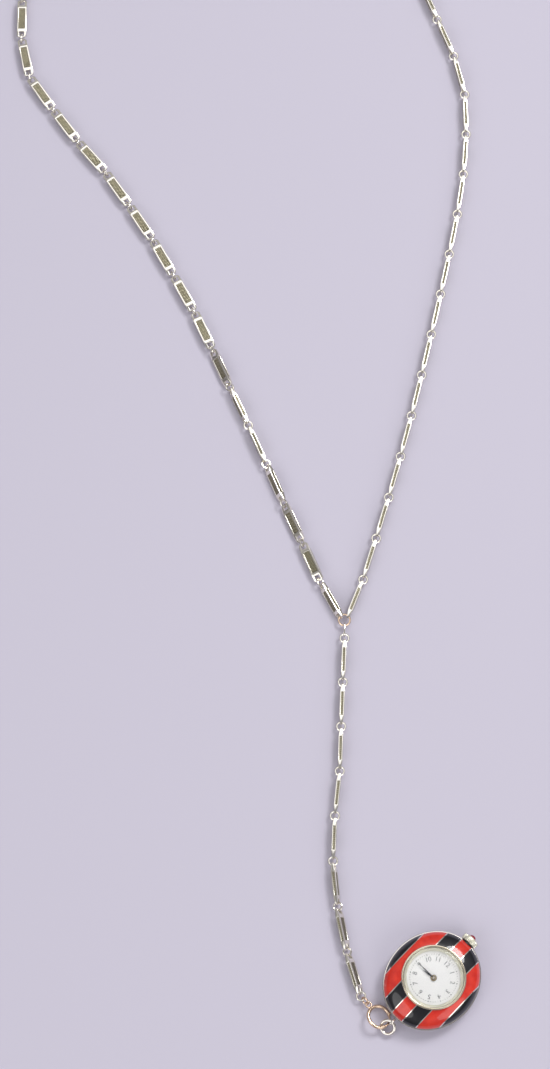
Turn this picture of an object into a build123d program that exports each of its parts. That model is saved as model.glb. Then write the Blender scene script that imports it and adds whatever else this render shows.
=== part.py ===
from build123d import *
import math
import os

# Pendant watch on a long bar-link chain, laid out flat.
#
# The watch lies on its back with the dial up. Its frame has the origin in the middle of the flat that
# the case back rests on, +Z through the dial, and the chain runs away from it towards +Y.

# Case: an oval of silver with enamelled stripes, seen from the dial side
case_width = 25.0
case_length = 28.4
case_shift = 0.5
watch_heading = 44.2
back_rest_width = 12.4
back_rest_length = 14.8
girdle_low = 3.3
girdle_high = 4.3
girdle_lip = 0.25
front_top = 8.1
enamel_thickness = 0.4
enamel_drop = 0.28
wire_width = 0.2
stripe_centre_share = 0.148
stripe_middle_share = 0.46
stripe_outer_share = 0.832
dome_angle = 64
back_angle = 66
dome_bands = 3
core_bands = 2
back_bands = 3
chamber_radius = 9.2
chamber_high = 6.95
back_floor = 1.0
overrun = 1.0

# Bezel, crystal, dial
bezel_outer = 8.85
bezel_inner = 8.3
bezel_rise = 0.65
bezel_bevel = 0.2
crystal_thickness = 0.45
crystal_dome = 0.85
crystal_shoulder_radius = 5.2
crystal_shoulder_share = 0.62
glass_fit = 0.02
reflector_inner = 7.45
reflector_outer = 8.2
reflector_low = 6.85
reflector_foot = 0.25
dial_radius = 8.9
dial_low = 6.4
dial_thickness = 0.35
dial_hole = 0.85

# Hands
hour_hand_length = 3.6
hour_hand_width = 0.55
minute_hand_length = 5.7
minute_hand_width = 0.42
hand_thickness = 0.13
hand_boss_extra = 0.28
hour_hand_low = 7.0
minute_hand_low = 7.28
hour_hand_angle = 262.5
minute_hand_angle = 270

# Sides of the small many-sided pieces
small_sides = 12
pivot_sides = 6
wheel_sides = 16
hollow_sides = 24

# Running fits and small gaps
running_fit = 0.05
seat_gap = 0.02
clear = 0.15

# Movement: heights above the rest flat
bridge_low = 1.8
bridge_thickness = 0.6
post_radius = 0.5
plate_low = 4.55
centre_hole = 0.75
fork_side = 3.2
plate_thickness = 0.95
plate_radius = 9.0
keyless_low = 1.4
keyless_thickness = 0.3

# Movement: wheels, as pitch radius, lowest face and thickness
barrel_radius = 3.3
barrel_low = 2.55
barrel_height = 1.5
centre_pinion_radius = 0.6
centre_wheel_radius = 3.2
centre_wheel_low = 4.2
wheel_thickness = 0.15
third_pinion_radius = 0.4
third_wheel_radius = 2.8
third_wheel_low = 3.3
fourth_pinion_radius = 0.373
fourth_wheel_radius = 2.4
fourth_wheel_low = 3.75
escape_pinion_radius = 0.24
escape_wheel_radius = 1.9
escape_wheel_low = 2.95
balance_radius = 3.0
balance_low = 2.6
balance_thickness = 0.3
balance_rim = 0.45
balance_arm = 0.6
roller_radius = 0.7
arbor_radius = 0.22
pivot_hole = 0.28
mesh_gap = 0.06
barrel_bearing = 141
third_bearing = 0
fourth_bearing = -83
escape_bearing = 212
pallet_bearing = 198
pallet_reach = 2.25
balance_bearing = 161
crown_wheel_bearing = 40
balance_reach = 3.45
fork_width = 0.4
fork_arm = 0.74
fork_thickness = 0.2
hairspring_inner = 0.55
hairspring_outer = 1.75
hairspring_turns = 1.5
hairspring_steps = 12
hairspring_strip = 0.12
hairspring_low = 2.43
hairspring_height = 0.14

# Motion work under the dial
cannon_low_radius = 0.5
cannon_high_radius = 0.4
cannon_step = 5.85
cannon_top = 7.42
motion_low = 5.6
hour_tube_radius = 0.7
hour_wheel_radius = 1.6
hour_wheel_low = 5.95
minute_wheel_radius = 1.5
minute_pinion_radius = 0.4
minute_bearing = 300

# Winding work
stem_height = 3.4
stem_radius = 0.45
stem_inner = 6.5
stem_collar = 0.8
stem_collar_length = 0.7
tube_radius = 1.0
tube_length = 1.9
tube_sink = 1.35
crown_radius = 2.35
crown_root = 2.15
crown_length = 1.5
crown_gap = 0.3
crown_teeth = 18
crown_recess = 0.5
cap_radius = 1.6
cap_rise = 0.35
cabochon_radius = 1.0
cabochon_rise = 0.75
cabochon_slopes = (28, 62)
crown_wheel_radius = 1.5
ratchet_radius = 2.3
lever_width = 0.7
lever_length = 2.2
lever_thickness = 0.35

# Bearings of the bridges' corners and feet, anticlockwise from +X
train_edge_bearings = (-62, -38, -14, 10, 34)
train_neck_bearings = (80, 190, 262)
train_foot_bearing = -26
train_neck_share = 3
barrel_edge_bearings = (76, 100, 124, 148, 172)
barrel_neck_bearings = (186, 128, 66)
barrel_foot_bearing = 108
barrel_neck_share = 2
cock_edge_bearings = (196, 214, 232, 250)
cock_neck_bearings = (0, 90)

# Bow and lug at the lower end of the case
lug_stand = 1.6
lug_height = 2.6
lug_hole = 0.75
lug_outer = 1.3
lug_thickness = 0.7
bow_radius = 1.92
bow_wire = 0.95
bow_height = 1.8

# Spring ring clasp
clasp_radius = 3.1
clasp_wire = 1.0
clasp_height = 1.9
clasp_step = 3.7
clasp_heading = -40.4
clasp_tilt = 24
clasp_gap_angle = 70
clasp_gap_bearing = 205
clasp_bore = 0.3
bolt_half = 0.22
bolt_travel = 46
bolt_inside = 56
bolt_knob_angle = 8
bolt_seat = 8
knob_room = 7
knob_radius = 0.28
knob_rise = 0.55
eye_radius = 0.82
eye_wire = 0.45
eye_sink = 0.28
eye_sides = 8
jump_radius = 1.15
jump_wire = 0.5
link_slack = 0.08

# Chain: bar links joined by small round rings
pitch = 12.8
chain_height = 1.5
ring_radius = 1.2
ring_wire = 0.56
ring_sides = 6
bar_width = 2.8
bar_thickness = 1.3
bar_end_thickness = 0.4
bar_start = 0.36
bar_end = 0.42
bar_window_length = 1.35
bar_window_width = 1.5
bar_taper_end = 2.7
panel_margin = 0.45
panel_depth = 0.14

# Junction of the two strands and the drop
junction_radius = 1.62
junction_sides = 12
strand_offset = 0.64
connector_wire = 0.5
connector_width = 1.9
connector_slack = 0.06
connector_length = 3.7

# Headings of the links, in degrees clockwise from +Y, and their rolls about their own length
drop_headings = [-17, -11.5, -5.5, 2.5, 6.5, 2, 2.5, 2.5]
drop_rolls = [58, 60, 75, 90, 90, 90, 90, 90]
left_headings = [-29, -24, -24, -23.5, -24, -25, -24, -25, -28.5, -29.5, -33, -34.5, -40.5, -36.5, -34.5, -12, 0]
left_rolls = [-66, -20, -40, -62, -90, -78, -45, 0, 0, 0, 0, 0, 0, 0, 0, 0, 0]
right_headings = [22, 17.5, 17, 16, 15, 14, 13.5, 13, 12.5, 11.5, 9, 4.5, -1, -14, -22, -22]
right_rolls = [90] * 16
nape_links = 12
nape_left_rolls = [0, 0, 0, 0, 0, 0]
nape_right_rolls = [90, 90, 75, 50, 25, 0]
left_groups = [4, 4, 4, 4, 4, 3]
right_groups = [4, 4, 4, 4, 3, 3]

# Shares of the sizes that they follow
cabochon_share = 0.7
connector_corner_share = 0.55
clasp_bevel_share = 0.5

# Worked out sizes
base = (Align.CENTER, Align.CENTER, Align.MIN)
half_width = case_width / 2
half_length = case_length / 2
plate_high = plate_low + plate_thickness
bridge_high = bridge_low + bridge_thickness
crown_seat = half_length - case_shift + crown_gap
lug_reach = half_length + case_shift + lug_stand
stripe_centre_edge = half_width * stripe_centre_share
stripe_middle_edge = half_width * stripe_middle_share
stripe_outer_edge = half_width * stripe_outer_share


def bearing(radius, degrees):
    """Point at a radius and a bearing, measured anticlockwise from +X."""
    angle = math.radians(degrees)
    return Vector(radius * math.cos(angle), radius * math.sin(angle), 0)


def course(heading):
    """Unit vector of a heading, clockwise from +Y."""
    angle = math.radians(heading)
    return Vector(math.sin(angle), math.cos(angle), 0)


# Places of the wheels in the movement
plate_reach = plate_radius - clear * 5
train_reach = plate_radius - clear * 2
escape_fork_low = escape_wheel_low
middle_distance = centre_wheel_radius + third_pinion_radius
barrel_place = bearing(barrel_radius + centre_pinion_radius, barrel_bearing)
third_place = bearing(middle_distance, third_bearing)
fourth_place = third_place + bearing(third_wheel_radius + fourth_pinion_radius, fourth_bearing)
escape_place = fourth_place + bearing(fourth_wheel_radius + escape_pinion_radius, escape_bearing)
pallet_place = escape_place + bearing(pallet_reach, pallet_bearing)
balance_place = pallet_place + bearing(balance_reach, balance_bearing)
minute_place = bearing(cannon_low_radius + minute_wheel_radius, minute_bearing)
crown_wheel_place = barrel_place + bearing(ratchet_radius + crown_wheel_radius, crown_wheel_bearing)


def drum(radius, low, high, centre=Vector(0, 0, 0)):
    """Upright cylinder between two heights."""
    return Pos(centre.X, centre.Y, low) * Cylinder(radius, high - low, align=base)


def prism(radius, sides, low, high, centre=Vector(0, 0, 0)):
    """Upright prism on a regular polygon whose corners lie on a circle."""
    return Pos(centre.X, centre.Y, low) * extrude(RegularPolygon(radius, sides), amount=high - low)


def well(radius, low, high):
    """Hollow on the watch's axis whose flats clear a round piece of this radius."""
    return prism(radius / math.cos(math.pi / hollow_sides), hollow_sides, low, high)


def pivot_cut(place):
    """Hole for a pivot through the plates, with running room round the arbor."""
    return prism(pivot_hole, pivot_sides, bridge_low, plate_high, place)


def slab(low, high):
    """Slab between two lateral distances, cutting the whole case along its long axis."""
    block = Box(high - low, 2 * case_length, 2 * case_length)
    return Pos((low + high) / 2, 0, 0) * block


def oval(half_x, half_y, shift, height):
    """Oval section of the case at a height."""
    return Pos(0, -shift, height) * Ellipse(half_x, half_y)


def dome(inset, drop, bands):
    """Front shell of the case from the girdle to the bezel seat, in bands."""
    sections = []
    floor_share = math.cos(math.radians(dome_angle))
    for band in range(bands + 1):
        angle = math.radians(dome_angle * band / bands)
        spread = (math.cos(angle) - floor_share) / (1 - floor_share)
        rise = math.sin(angle) / math.sin(math.radians(dome_angle))
        half_x = bezel_outer + (half_width - bezel_outer) * spread - inset
        half_y = bezel_outer + (half_length - bezel_outer) * spread - inset
        height = girdle_high + (front_top - girdle_high) * rise - drop * rise
        sections.append(oval(half_x, half_y, case_shift * spread, height))
    return loft(sections, ruled=True)


def back_bowl():
    """Outer form of the case back, from the rest flat up to the girdle."""
    sections = []
    floor_share = math.cos(math.radians(back_angle))
    for band in range(back_bands + 1):
        angle = math.radians(back_angle * (1 - band / back_bands))
        spread = (math.cos(angle) - floor_share) / (1 - floor_share)
        fall = math.sin(angle) / math.sin(math.radians(back_angle))
        half_x = back_rest_width / 2 + (half_width + girdle_lip - back_rest_width / 2) * spread
        half_y = back_rest_length / 2 + (half_length + girdle_lip - back_rest_length / 2) * spread
        height = girdle_low * (1 - fall)
        sections.append(oval(half_x, half_y, case_shift, height))
    return loft(sections, ruled=True)


def make_case_parts():
    """Case body, the two enamels and the case back, in the watch's own frame."""
    shell = dome(0, 0, dome_bands)
    core = dome(enamel_thickness, enamel_drop, core_bands)
    seat = drum(bezel_outer, front_top - enamel_drop * 2, front_top)
    tube_hole = stem_bar(tube_radius + seat_gap, stem_inner, crown_seat + overrun)
    layer = shell - core - seat - tube_hole
    edges = [stripe_centre_edge, stripe_middle_edge, stripe_outer_edge]
    wires = []
    for edge in edges:
        for side in (-1, 1):
            wires.append(slab(side * edge - wire_width / 2, side * edge + wire_width / 2))
    half_wire = wire_width / 2
    red = [slab(half_wire - stripe_centre_edge, stripe_centre_edge - half_wire)]
    red.append(slab(stripe_middle_edge + half_wire, stripe_outer_edge - half_wire))
    red.append(slab(half_wire - stripe_outer_edge, -stripe_middle_edge - half_wire))
    black = [slab(stripe_centre_edge + half_wire, stripe_middle_edge - half_wire)]
    black.append(slab(half_wire - stripe_middle_edge, -stripe_centre_edge - half_wire))
    black.append(slab(stripe_outer_edge + half_wire, case_width))
    black.append(slab(-case_width, -stripe_outer_edge - half_wire))
    girdle_x = half_width + girdle_lip
    girdle_y = half_length + girdle_lip
    girdle = extrude(oval(girdle_x, girdle_y, case_shift, girdle_low), amount=girdle_high - girdle_low)
    chamber = well(chamber_radius, girdle_low, chamber_high)
    opening = well(reflector_outer + seat_gap, girdle_low, front_top + overrun)
    body = core + girdle + seat
    for wire in wires:
        body += layer & wire
    body = body - chamber - opening - tube_hole
    enamel_red = [layer & stripe for stripe in red]
    enamel_black = [layer & stripe for stripe in black]
    back = back_bowl() - well(chamber_radius, back_floor, girdle_low + overrun) - tube_hole
    return body, enamel_red, enamel_black, back


def stem_bar(radius, start, end):
    """Twelve-sided bar along the watch's long axis at the height of the stem."""
    bar = extrude(RegularPolygon(radius, small_sides), amount=end - start)
    return Pos(0, start, stem_height) * Rot(-90, 0, 0) * bar


def make_bezel():
    """Polished ring that holds the crystal on the case."""
    top = front_top + bezel_rise
    outline = [(bezel_inner, front_top), (bezel_outer, front_top), (bezel_outer, top - bezel_bevel)]
    outline += [(bezel_outer - bezel_bevel, top), (bezel_inner, top)]
    return turned(outline)


def turned(outline):
    """Solid of revolution about Z of an outline of radii and heights."""
    face = Plane.XZ * make_face(Polyline(*outline, close=True))
    return revolve(face, Axis.Z, 360)


def make_crystal():
    """Domed crystal, seated in the bezel."""
    edge = bezel_inner - glass_fit
    low = front_top + seat_gap
    shoulder = low + crystal_dome * crystal_shoulder_share
    peak = low + crystal_dome
    outline = [(0, peak), (0, peak + crystal_thickness)]
    outline.append((crystal_shoulder_radius, shoulder + crystal_thickness))
    outline.append((edge, low + crystal_thickness))
    outline.append((edge, low))
    return turned(outline)


def make_reflector():
    """Sloping inner ring between the dial and the crystal."""
    outline = [(reflector_inner, reflector_low), (reflector_outer, reflector_low), (reflector_outer, front_top)]
    outline.append((reflector_inner, reflector_low + reflector_foot))
    return turned(outline)


def make_hand(length, width, low, hole, angle):
    """Leaf hand with a round boss, turned to a clock angle from the crown."""
    outline = [(-width / 2, 0), (-width / 2, length / 2), (0, length), (width / 2, length / 2), (width / 2, 0)]
    leaf = make_face(Polyline(*outline, close=True))
    boss = RegularPolygon(hole + hand_boss_extra, small_sides)
    hand = extrude(leaf + boss - RegularPolygon(hole, small_sides), amount=hand_thickness)
    return Pos(0, 0, low) * Rot(0, 0, -angle) * hand


def arbor(low, high, centre):
    """Thin eight-sided arbor."""
    return prism(arbor_radius, pivot_sides, low, high, centre)


def wheel(radius, low, centre):
    """Wheel given as its pitch disc, a little under the pitch radius."""
    return prism(radius - mesh_gap, wheel_sides, low, low + wheel_thickness, centre)


def pinion(radius, low, mate_low, centre):
    """Pinion from a height up through the wheel that it meets."""
    return prism(radius, pivot_sides, low, mate_low + wheel_thickness, centre)


def make_train():
    """Going train, each wheel with its pinion and arbor."""
    train = {}
    foot = bridge_low + wheel_thickness
    top = plate_high - wheel_thickness
    middle = Vector(0, 0, 0)
    centre = prism(centre_pinion_radius, pivot_sides, barrel_low, barrel_low + barrel_height, middle)
    centre += wheel(centre_wheel_radius, centre_wheel_low, middle)
    centre += arbor(foot, cannon_top - wheel_thickness, middle)
    train["centre_wheel"] = centre
    third = wheel(third_wheel_radius, third_wheel_low, third_place)
    third += pinion(third_pinion_radius, third_wheel_low, centre_wheel_low, third_place)
    train["third_wheel"] = third + arbor(foot, top, third_place)
    fourth = wheel(fourth_wheel_radius, fourth_wheel_low, fourth_place)
    fourth += pinion(fourth_pinion_radius, third_wheel_low, fourth_wheel_low, fourth_place)
    train["fourth_wheel"] = fourth + arbor(foot, top, fourth_place)
    escape = wheel(escape_wheel_radius, escape_wheel_low, escape_place)
    escape += pinion(escape_pinion_radius, escape_wheel_low, fourth_wheel_low, escape_place)
    train["escape_wheel"] = escape + arbor(foot, top, escape_place)
    barrel = prism(barrel_radius - mesh_gap, wheel_sides, barrel_low, barrel_low + barrel_height, barrel_place)
    train["barrel"] = barrel - pivot_cut(barrel_place)
    return train


def make_balance():
    """Balance wheel with its staff and roller."""
    high = balance_low + balance_thickness
    rim = prism(balance_radius, wheel_sides, balance_low, high, balance_place)
    rim -= prism(balance_radius - balance_rim, wheel_sides, balance_low, high, balance_place)
    arm = Pos(balance_place.X, balance_place.Y, balance_low) * Box(
        2 * balance_radius - balance_rim, balance_arm, balance_thickness, align=base
    )
    roller = prism(roller_radius, pivot_sides, balance_low, escape_wheel_low + fork_thickness, balance_place)
    staff = arbor(bridge_low + wheel_thickness, plate_high - wheel_thickness, balance_place)
    return rim + arm + roller + staff


def make_fork():
    """Pallet fork between the escape wheel and the balance."""
    to_balance = balance_place - pallet_place
    turn = math.degrees(math.atan2(to_balance.Y, to_balance.X))
    reach = to_balance.length - roller_radius - clear
    stalk = Box(reach, fork_width, fork_thickness, align=(Align.MIN, Align.CENTER, Align.MIN))
    arms = Box(fork_width, 2 * fork_arm, fork_thickness, align=base)
    fork = Pos(pallet_place.X, pallet_place.Y, escape_fork_low) * Rot(0, 0, turn) * (stalk + arms)
    return fork + arbor(bridge_low + wheel_thickness, plate_high - wheel_thickness, pallet_place)


def make_hairspring():
    """Flat spiral spring round the balance staff."""
    inner = []
    outer = []
    for step in range(hairspring_steps + 1):
        share = step / hairspring_steps
        angle = 360 * hairspring_turns * share
        radius = hairspring_inner + (hairspring_outer - hairspring_inner) * share
        inner.append(bearing(radius, angle))
        outer.append(bearing(radius + hairspring_strip, angle))
    strip = make_face(Polyline(*inner, *reversed(outer), close=True))
    return Pos(balance_place.X, balance_place.Y, hairspring_low) * extrude(strip, amount=hairspring_height)


def make_plates():
    """Main plate and the bridges that carry the lower pivots."""
    plates = {}
    places = [third_place, fourth_place, escape_place, balance_place, pallet_place, barrel_place]
    main = prism(plate_radius, hollow_sides, plate_low, plate_high)
    main -= prism(centre_hole, small_sides, plate_low, plate_high)
    for place in places:
        main -= pivot_cut(place)
    plates["main_plate"] = main
    train_outline = [bearing(train_reach, degrees) for degrees in train_edge_bearings]
    train_necks = (centre_hole, centre_hole * train_neck_share, fork_side)
    train_outline += [bearing(reach, degrees) for reach, degrees in zip(train_necks, train_neck_bearings)]
    train = bridge(train_outline, [third_place, fourth_place, escape_place, Vector(0, 0, 0)])
    plates["train_bridge"] = train + post(train_foot_bearing, plate_reach)
    barrel_outline = [bearing(train_reach, degrees) for degrees in barrel_edge_bearings]
    barrel_necks = (barrel_radius, centre_hole * barrel_neck_share, barrel_radius)
    barrel_outline += [bearing(reach, degrees) for reach, degrees in zip(barrel_necks, barrel_neck_bearings)]
    barrel = bridge(barrel_outline, [barrel_place])
    plates["barrel_bridge"] = barrel + post(barrel_foot_bearing, plate_reach)
    cock_outline = [bearing(train_reach, degrees) for degrees in cock_edge_bearings]
    cock_outline += [balance_place + bearing(roller_radius, degrees) for degrees in cock_neck_bearings]
    cock = bridge(cock_outline, [balance_place])
    plates["balance_cock"] = cock + post(cock_edge_bearings[0], plate_reach)
    return plates


def bridge(outline, holes):
    """Flat bridge on an outline, with a pivot hole at each place."""
    plate = Pos(0, 0, bridge_low) * extrude(make_face(Polyline(*outline, close=True)), amount=bridge_thickness)
    for place in holes:
        plate -= pivot_cut(place)
    return plate


def post(degrees, reach):
    """Pillar that joins a bridge to the main plate."""
    return prism(post_radius, pivot_sides, bridge_high - wheel_thickness, plate_low, bearing(reach, degrees))


def make_motion_work():
    """Cannon pinion, hour wheel and minute wheel under the dial."""
    parts = {}
    cannon = prism(cannon_low_radius, small_sides, motion_low, cannon_step)
    cannon += prism(cannon_high_radius, small_sides, cannon_step, cannon_top)
    parts["cannon_pinion"] = cannon - prism(arbor_radius + running_fit, pivot_sides, motion_low, cannon_top)
    hour = wheel(hour_wheel_radius, hour_wheel_low, Vector(0, 0, 0))
    hour += prism(hour_tube_radius, small_sides, hour_wheel_low, hour_hand_low + hand_thickness)
    parts["hour_wheel"] = hour - prism(cannon_high_radius + running_fit, small_sides, motion_low, cannon_top)
    minute = wheel(minute_wheel_radius, motion_low, minute_place)
    pinion_high = hour_wheel_low + wheel_thickness
    minute += prism(minute_pinion_radius - mesh_gap, pivot_sides, motion_low, pinion_high, minute_place)
    parts["minute_wheel"] = minute
    return parts


def make_winding_work():
    """Stem, crown, its stone, the tube it runs in and the winding wheels."""
    parts = {}
    stem_end = crown_seat + crown_length - crown_recess
    stem = stem_bar(stem_radius, stem_inner, stem_end)
    parts["winding_stem"] = stem + stem_bar(stem_collar, stem_inner, stem_inner + stem_collar_length)
    tube_start = half_length - case_shift - tube_sink
    tube = stem_bar(tube_radius, tube_start, tube_start + tube_length)
    parts["pendant_tube"] = tube - stem_bar(stem_radius + running_fit, stem_inner, crown_seat + crown_length)
    outline = []
    for tooth in range(2 * crown_teeth):
        radius = crown_radius if tooth % 2 else crown_root
        outline.append(bearing(radius, 180 * tooth / crown_teeth))
    collar = extrude(make_face(Polyline(*outline, close=True)), amount=crown_length)
    collar -= extrude(RegularPolygon(tube_radius + clear, small_sides), amount=crown_recess + crown_gap)
    collar -= extrude(RegularPolygon(stem_radius + seat_gap, small_sides), amount=crown_length - crown_recess)
    cap_face = RegularPolygon(cap_radius, small_sides) - RegularPolygon(cabochon_radius, small_sides)
    cap = Pos(0, 0, crown_length) * extrude(cap_face, amount=cap_rise)
    to_crown = Pos(0, crown_seat, stem_height) * Rot(-90, 0, 0)
    parts["crown"] = to_crown * (collar + cap)
    waist = cabochon_radius - seat_gap
    stone = Pos(0, 0, crown_length) * extrude(RegularPolygon(waist, small_sides), amount=cap_rise)
    lower_rise = cabochon_rise * cabochon_share
    shoulder = extrude(stone.faces().sort_by(Axis.Z)[-1], amount=lower_rise, taper=cabochon_slopes[0])
    peak = extrude(shoulder.faces().sort_by(Axis.Z)[-1], amount=cabochon_rise - lower_rise, taper=cabochon_slopes[1])
    parts["crown_cabochon"] = to_crown * (stone + shoulder + peak)
    keyless_high = keyless_low + keyless_thickness
    ratchet = prism(ratchet_radius - mesh_gap, wheel_sides, keyless_low, keyless_high, barrel_place)
    parts["ratchet_wheel"] = ratchet + arbor(keyless_high, plate_high - wheel_thickness, barrel_place)
    crown_wheel = prism(crown_wheel_radius - mesh_gap, wheel_sides, keyless_low, keyless_high, crown_wheel_place)
    parts["crown_wheel"] = crown_wheel
    lever_y = stem_inner + stem_collar_length + seat_gap
    lever = Pos(0, lever_y, stem_height) * Box(
        lever_length, lever_width, lever_thickness + 2 * stem_radius, align=(Align.CENTER, Align.MIN, Align.CENTER)
    )
    parts["setting_lever"] = lever - stem_bar(stem_radius + running_fit, stem_inner, crown_seat)
    return parts


def plane_on(point, along, roll):
    """Plane at a point, its x along a direction and its z turned by a roll about that x."""
    forward = along.normalized()
    right = forward.cross(Vector(0, 0, 1)).normalized()
    level = right.cross(forward)
    angle = math.radians(roll)
    return Plane(origin=point, x_dir=forward, z_dir=level * math.cos(angle) + right * math.sin(angle))


def flat_ring(radius, wire, sides):
    """Ring of square wire on a regular polygon, a flat facing +X, lying in its XY plane."""
    widen = 1 / math.cos(math.pi / sides)
    face = RegularPolygon((radius + wire / 2) * widen, sides) - RegularPolygon((radius - wire / 2) * widen, sides)
    turn = 180 / sides
    return Rot(0, 0, turn) * Pos(0, 0, -wire / 2) * extrude(face, amount=wire)


def ring_at(point, along, roll, radius=ring_radius, wire=ring_wire, sides=ring_sides):
    """Ring whose own axis lies across the chain at a roll, so that a bar of that roll hangs in it."""
    plane = plane_on(point, along, roll)
    return plane.location * Rot(90, 0, 0) * flat_ring(radius, wire, sides)


def make_bar():
    """One bar link along +X from its first ring centre, with windows, tapers and sunk panels."""
    thin = bar_end_thickness / 2
    thick = bar_thickness / 2
    upper = [(bar_start, thin), (bar_taper_end, thick)]
    upper += [(pitch - x, z) for x, z in reversed(upper)]
    lower = [(x, -z) for x, z in reversed(upper)]
    side = Plane.XZ * make_face(Polyline(*upper, *lower, close=True))
    bar = extrude(side, amount=bar_width / 2, both=True)
    window_middle = bar_start + bar_end + bar_window_length / 2
    for x in (window_middle, pitch - window_middle):
        bar -= Pos(x, 0, 0) * Box(bar_window_length, bar_window_width, bar_thickness)
    panel_length = pitch - 2 * (bar_taper_end + panel_margin)
    panel = Box(panel_length, bar_width - 2 * panel_margin, 2 * panel_depth)
    for z in (-thick, thick):
        bar -= Pos(pitch / 2, 0, z) * panel
    return bar


def bar_between(start, end, roll):
    """Bar link from one ring centre to the next."""
    return plane_on(start, end - start, roll).location * bar_link


def walk(start, headings):
    """Ring centres of a run of links, from its headings."""
    points = [start]
    for heading in headings:
        points.append(points[-1] + course(heading) * pitch)
    return points


def nape_headings(start, end):
    """Headings of the links that close the loop as one even arc between two points."""
    chord = end - start
    wanted = chord.length / pitch
    low = 0.001
    high = 2 * math.pi / nape_links
    for _ in range(60):
        turn = (low + high) / 2
        if math.sin(nape_links * turn / 2) / math.sin(turn / 2) > wanted:
            low = turn
        else:
            high = turn
    across = math.degrees(math.atan2(chord.X, chord.Y))
    step = math.degrees(turn)
    return [across + step * (link - (nape_links - 1) / 2) for link in range(nape_links)]


def strand(points, rolls, rings):
    """Bars of a run of links, each with the ring at its far end."""
    links = []
    for index, roll in enumerate(rolls):
        bar = bar_between(points[index], points[index + 1], roll)
        ring = ring_at(points[index + 1], points[index + 2] - points[index], rings[index + 1])
        links.append([bar, ring])
    return links


def make_connector(start, end):
    """Upright oval link between the top ring of the drop and the junction ring."""
    middle = (start + end) / 2
    along = (end - start).length
    half = along / 2 + connector_wire / 2
    radius = connector_width / 2
    corner = radius * connector_corner_share
    outer = octagon(half, radius, corner)
    inner = octagon(half - connector_wire, radius - connector_wire, corner * connector_corner_share)
    face = outer - inner
    solid = Pos(0, 0, -connector_wire / 2) * extrude(face, amount=connector_wire)
    return plane_on(middle, end - start, 90).location * solid


def octagon(half_x, half_y, corner):
    """Rectangle with its corners cut."""
    points = [(half_x, half_y - corner), (half_x - corner, half_y)]
    points += [(-x, y) for x, y in reversed(points)]
    points += [(x, -y) for x, y in reversed(points)]
    return make_face(Polyline(*points, close=True))


def make_clasp(centre, along):
    """Spring ring: hollow ring with an eye, and the sprung bolt that closes it."""
    parts = {}
    plane = plane_on(centre, along, 0)
    tilt = plane.location * Rot(clasp_tilt, 0, 0)
    half = clasp_wire / 2
    bevel = half * clasp_bevel_share
    section = [(half, 0), (half - bevel, half), (bevel - half, half)]
    section += [(-half, 0), (bevel - half, -half), (half - bevel, -half)]
    outline = [(clasp_radius + x, y) for x, y in section]
    tube = Plane.XZ * make_face(Polyline(*outline, close=True))
    sweep = 360 - clasp_gap_angle
    start = clasp_gap_bearing + clasp_gap_angle / 2
    body = Rot(0, 0, start) * revolve(tube, Axis.Z, sweep)
    bore_section = Plane.XZ * Pos(clasp_radius, 0) * Rectangle(2 * clasp_bore, 2 * clasp_bore)
    channel = Rot(0, 0, start - 1) * revolve(bore_section, Axis.Z, bolt_inside + bolt_travel)
    body -= channel
    slot_section = Plane.XZ * Pos(clasp_radius, half) * Rectangle(2 * knob_radius, clasp_wire)
    knob_bearing = start + bolt_knob_angle
    slot = Rot(0, 0, start + bolt_knob_angle - knob_room) * revolve(slot_section, Axis.Z, bolt_travel + 2 * knob_room)
    body -= slot
    body -= Rot(0, 0, clasp_gap_bearing - clasp_gap_angle / 2 - bolt_seat) * revolve(bore_section, Axis.Z, bolt_seat + 1)
    eye_reach = clasp_radius + half + eye_radius + eye_wire / 2 - eye_sink
    body += Pos(eye_reach, 0, 0) * flat_ring(eye_radius, eye_wire, eye_sides)
    parts["spring_ring_body"] = tilt * body
    bolt_section = Plane.XZ * Pos(clasp_radius, 0) * Rectangle(2 * bolt_half, 2 * bolt_half)
    bolt_start = clasp_gap_bearing - clasp_gap_angle / 2 - bolt_seat / 2
    bolt = Rot(0, 0, bolt_start) * revolve(bolt_section, Axis.Z, clasp_gap_angle + bolt_inside)
    knob_point = bearing(clasp_radius, knob_bearing)
    bolt += Pos(knob_point.X, knob_point.Y, 0) * extrude(
        RegularPolygon(knob_radius - running_fit, pivot_sides), amount=half + knob_rise
    )
    parts["spring_ring_bolt"] = tilt * bolt
    return parts


def make_lug():
    """Upright eyelet soldered to the lower end of the case, for the bow to hang in."""
    eye = Rot(0, 90, 0) * Pos(0, 0, -lug_thickness / 2) * (
        extrude(RegularPolygon(lug_outer, small_sides), amount=lug_thickness)
        - extrude(RegularPolygon(lug_hole, small_sides), amount=lug_thickness)
    )
    return Pos(0, -lug_reach, lug_height) * eye


def chain_rings(rolls, first, last):
    """Roll of each ring, halfway between the bars that it joins."""
    inner = [(a + b) / 2 for a, b in zip(rolls[:-1], rolls[1:])]
    return [first] + inner + [last]


def save(name, solids):
    """Writes one named piece, a single solid or a group of separate solids."""
    flat = []
    for solid in solids if isinstance(solids, list) else [solids]:
        flat.extend(solid.solids())
    shape = flat[0] if len(flat) == 1 else Compound(flat)
    export_step(shape, os.path.join("parts", name + ".step"))
    return shape


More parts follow.
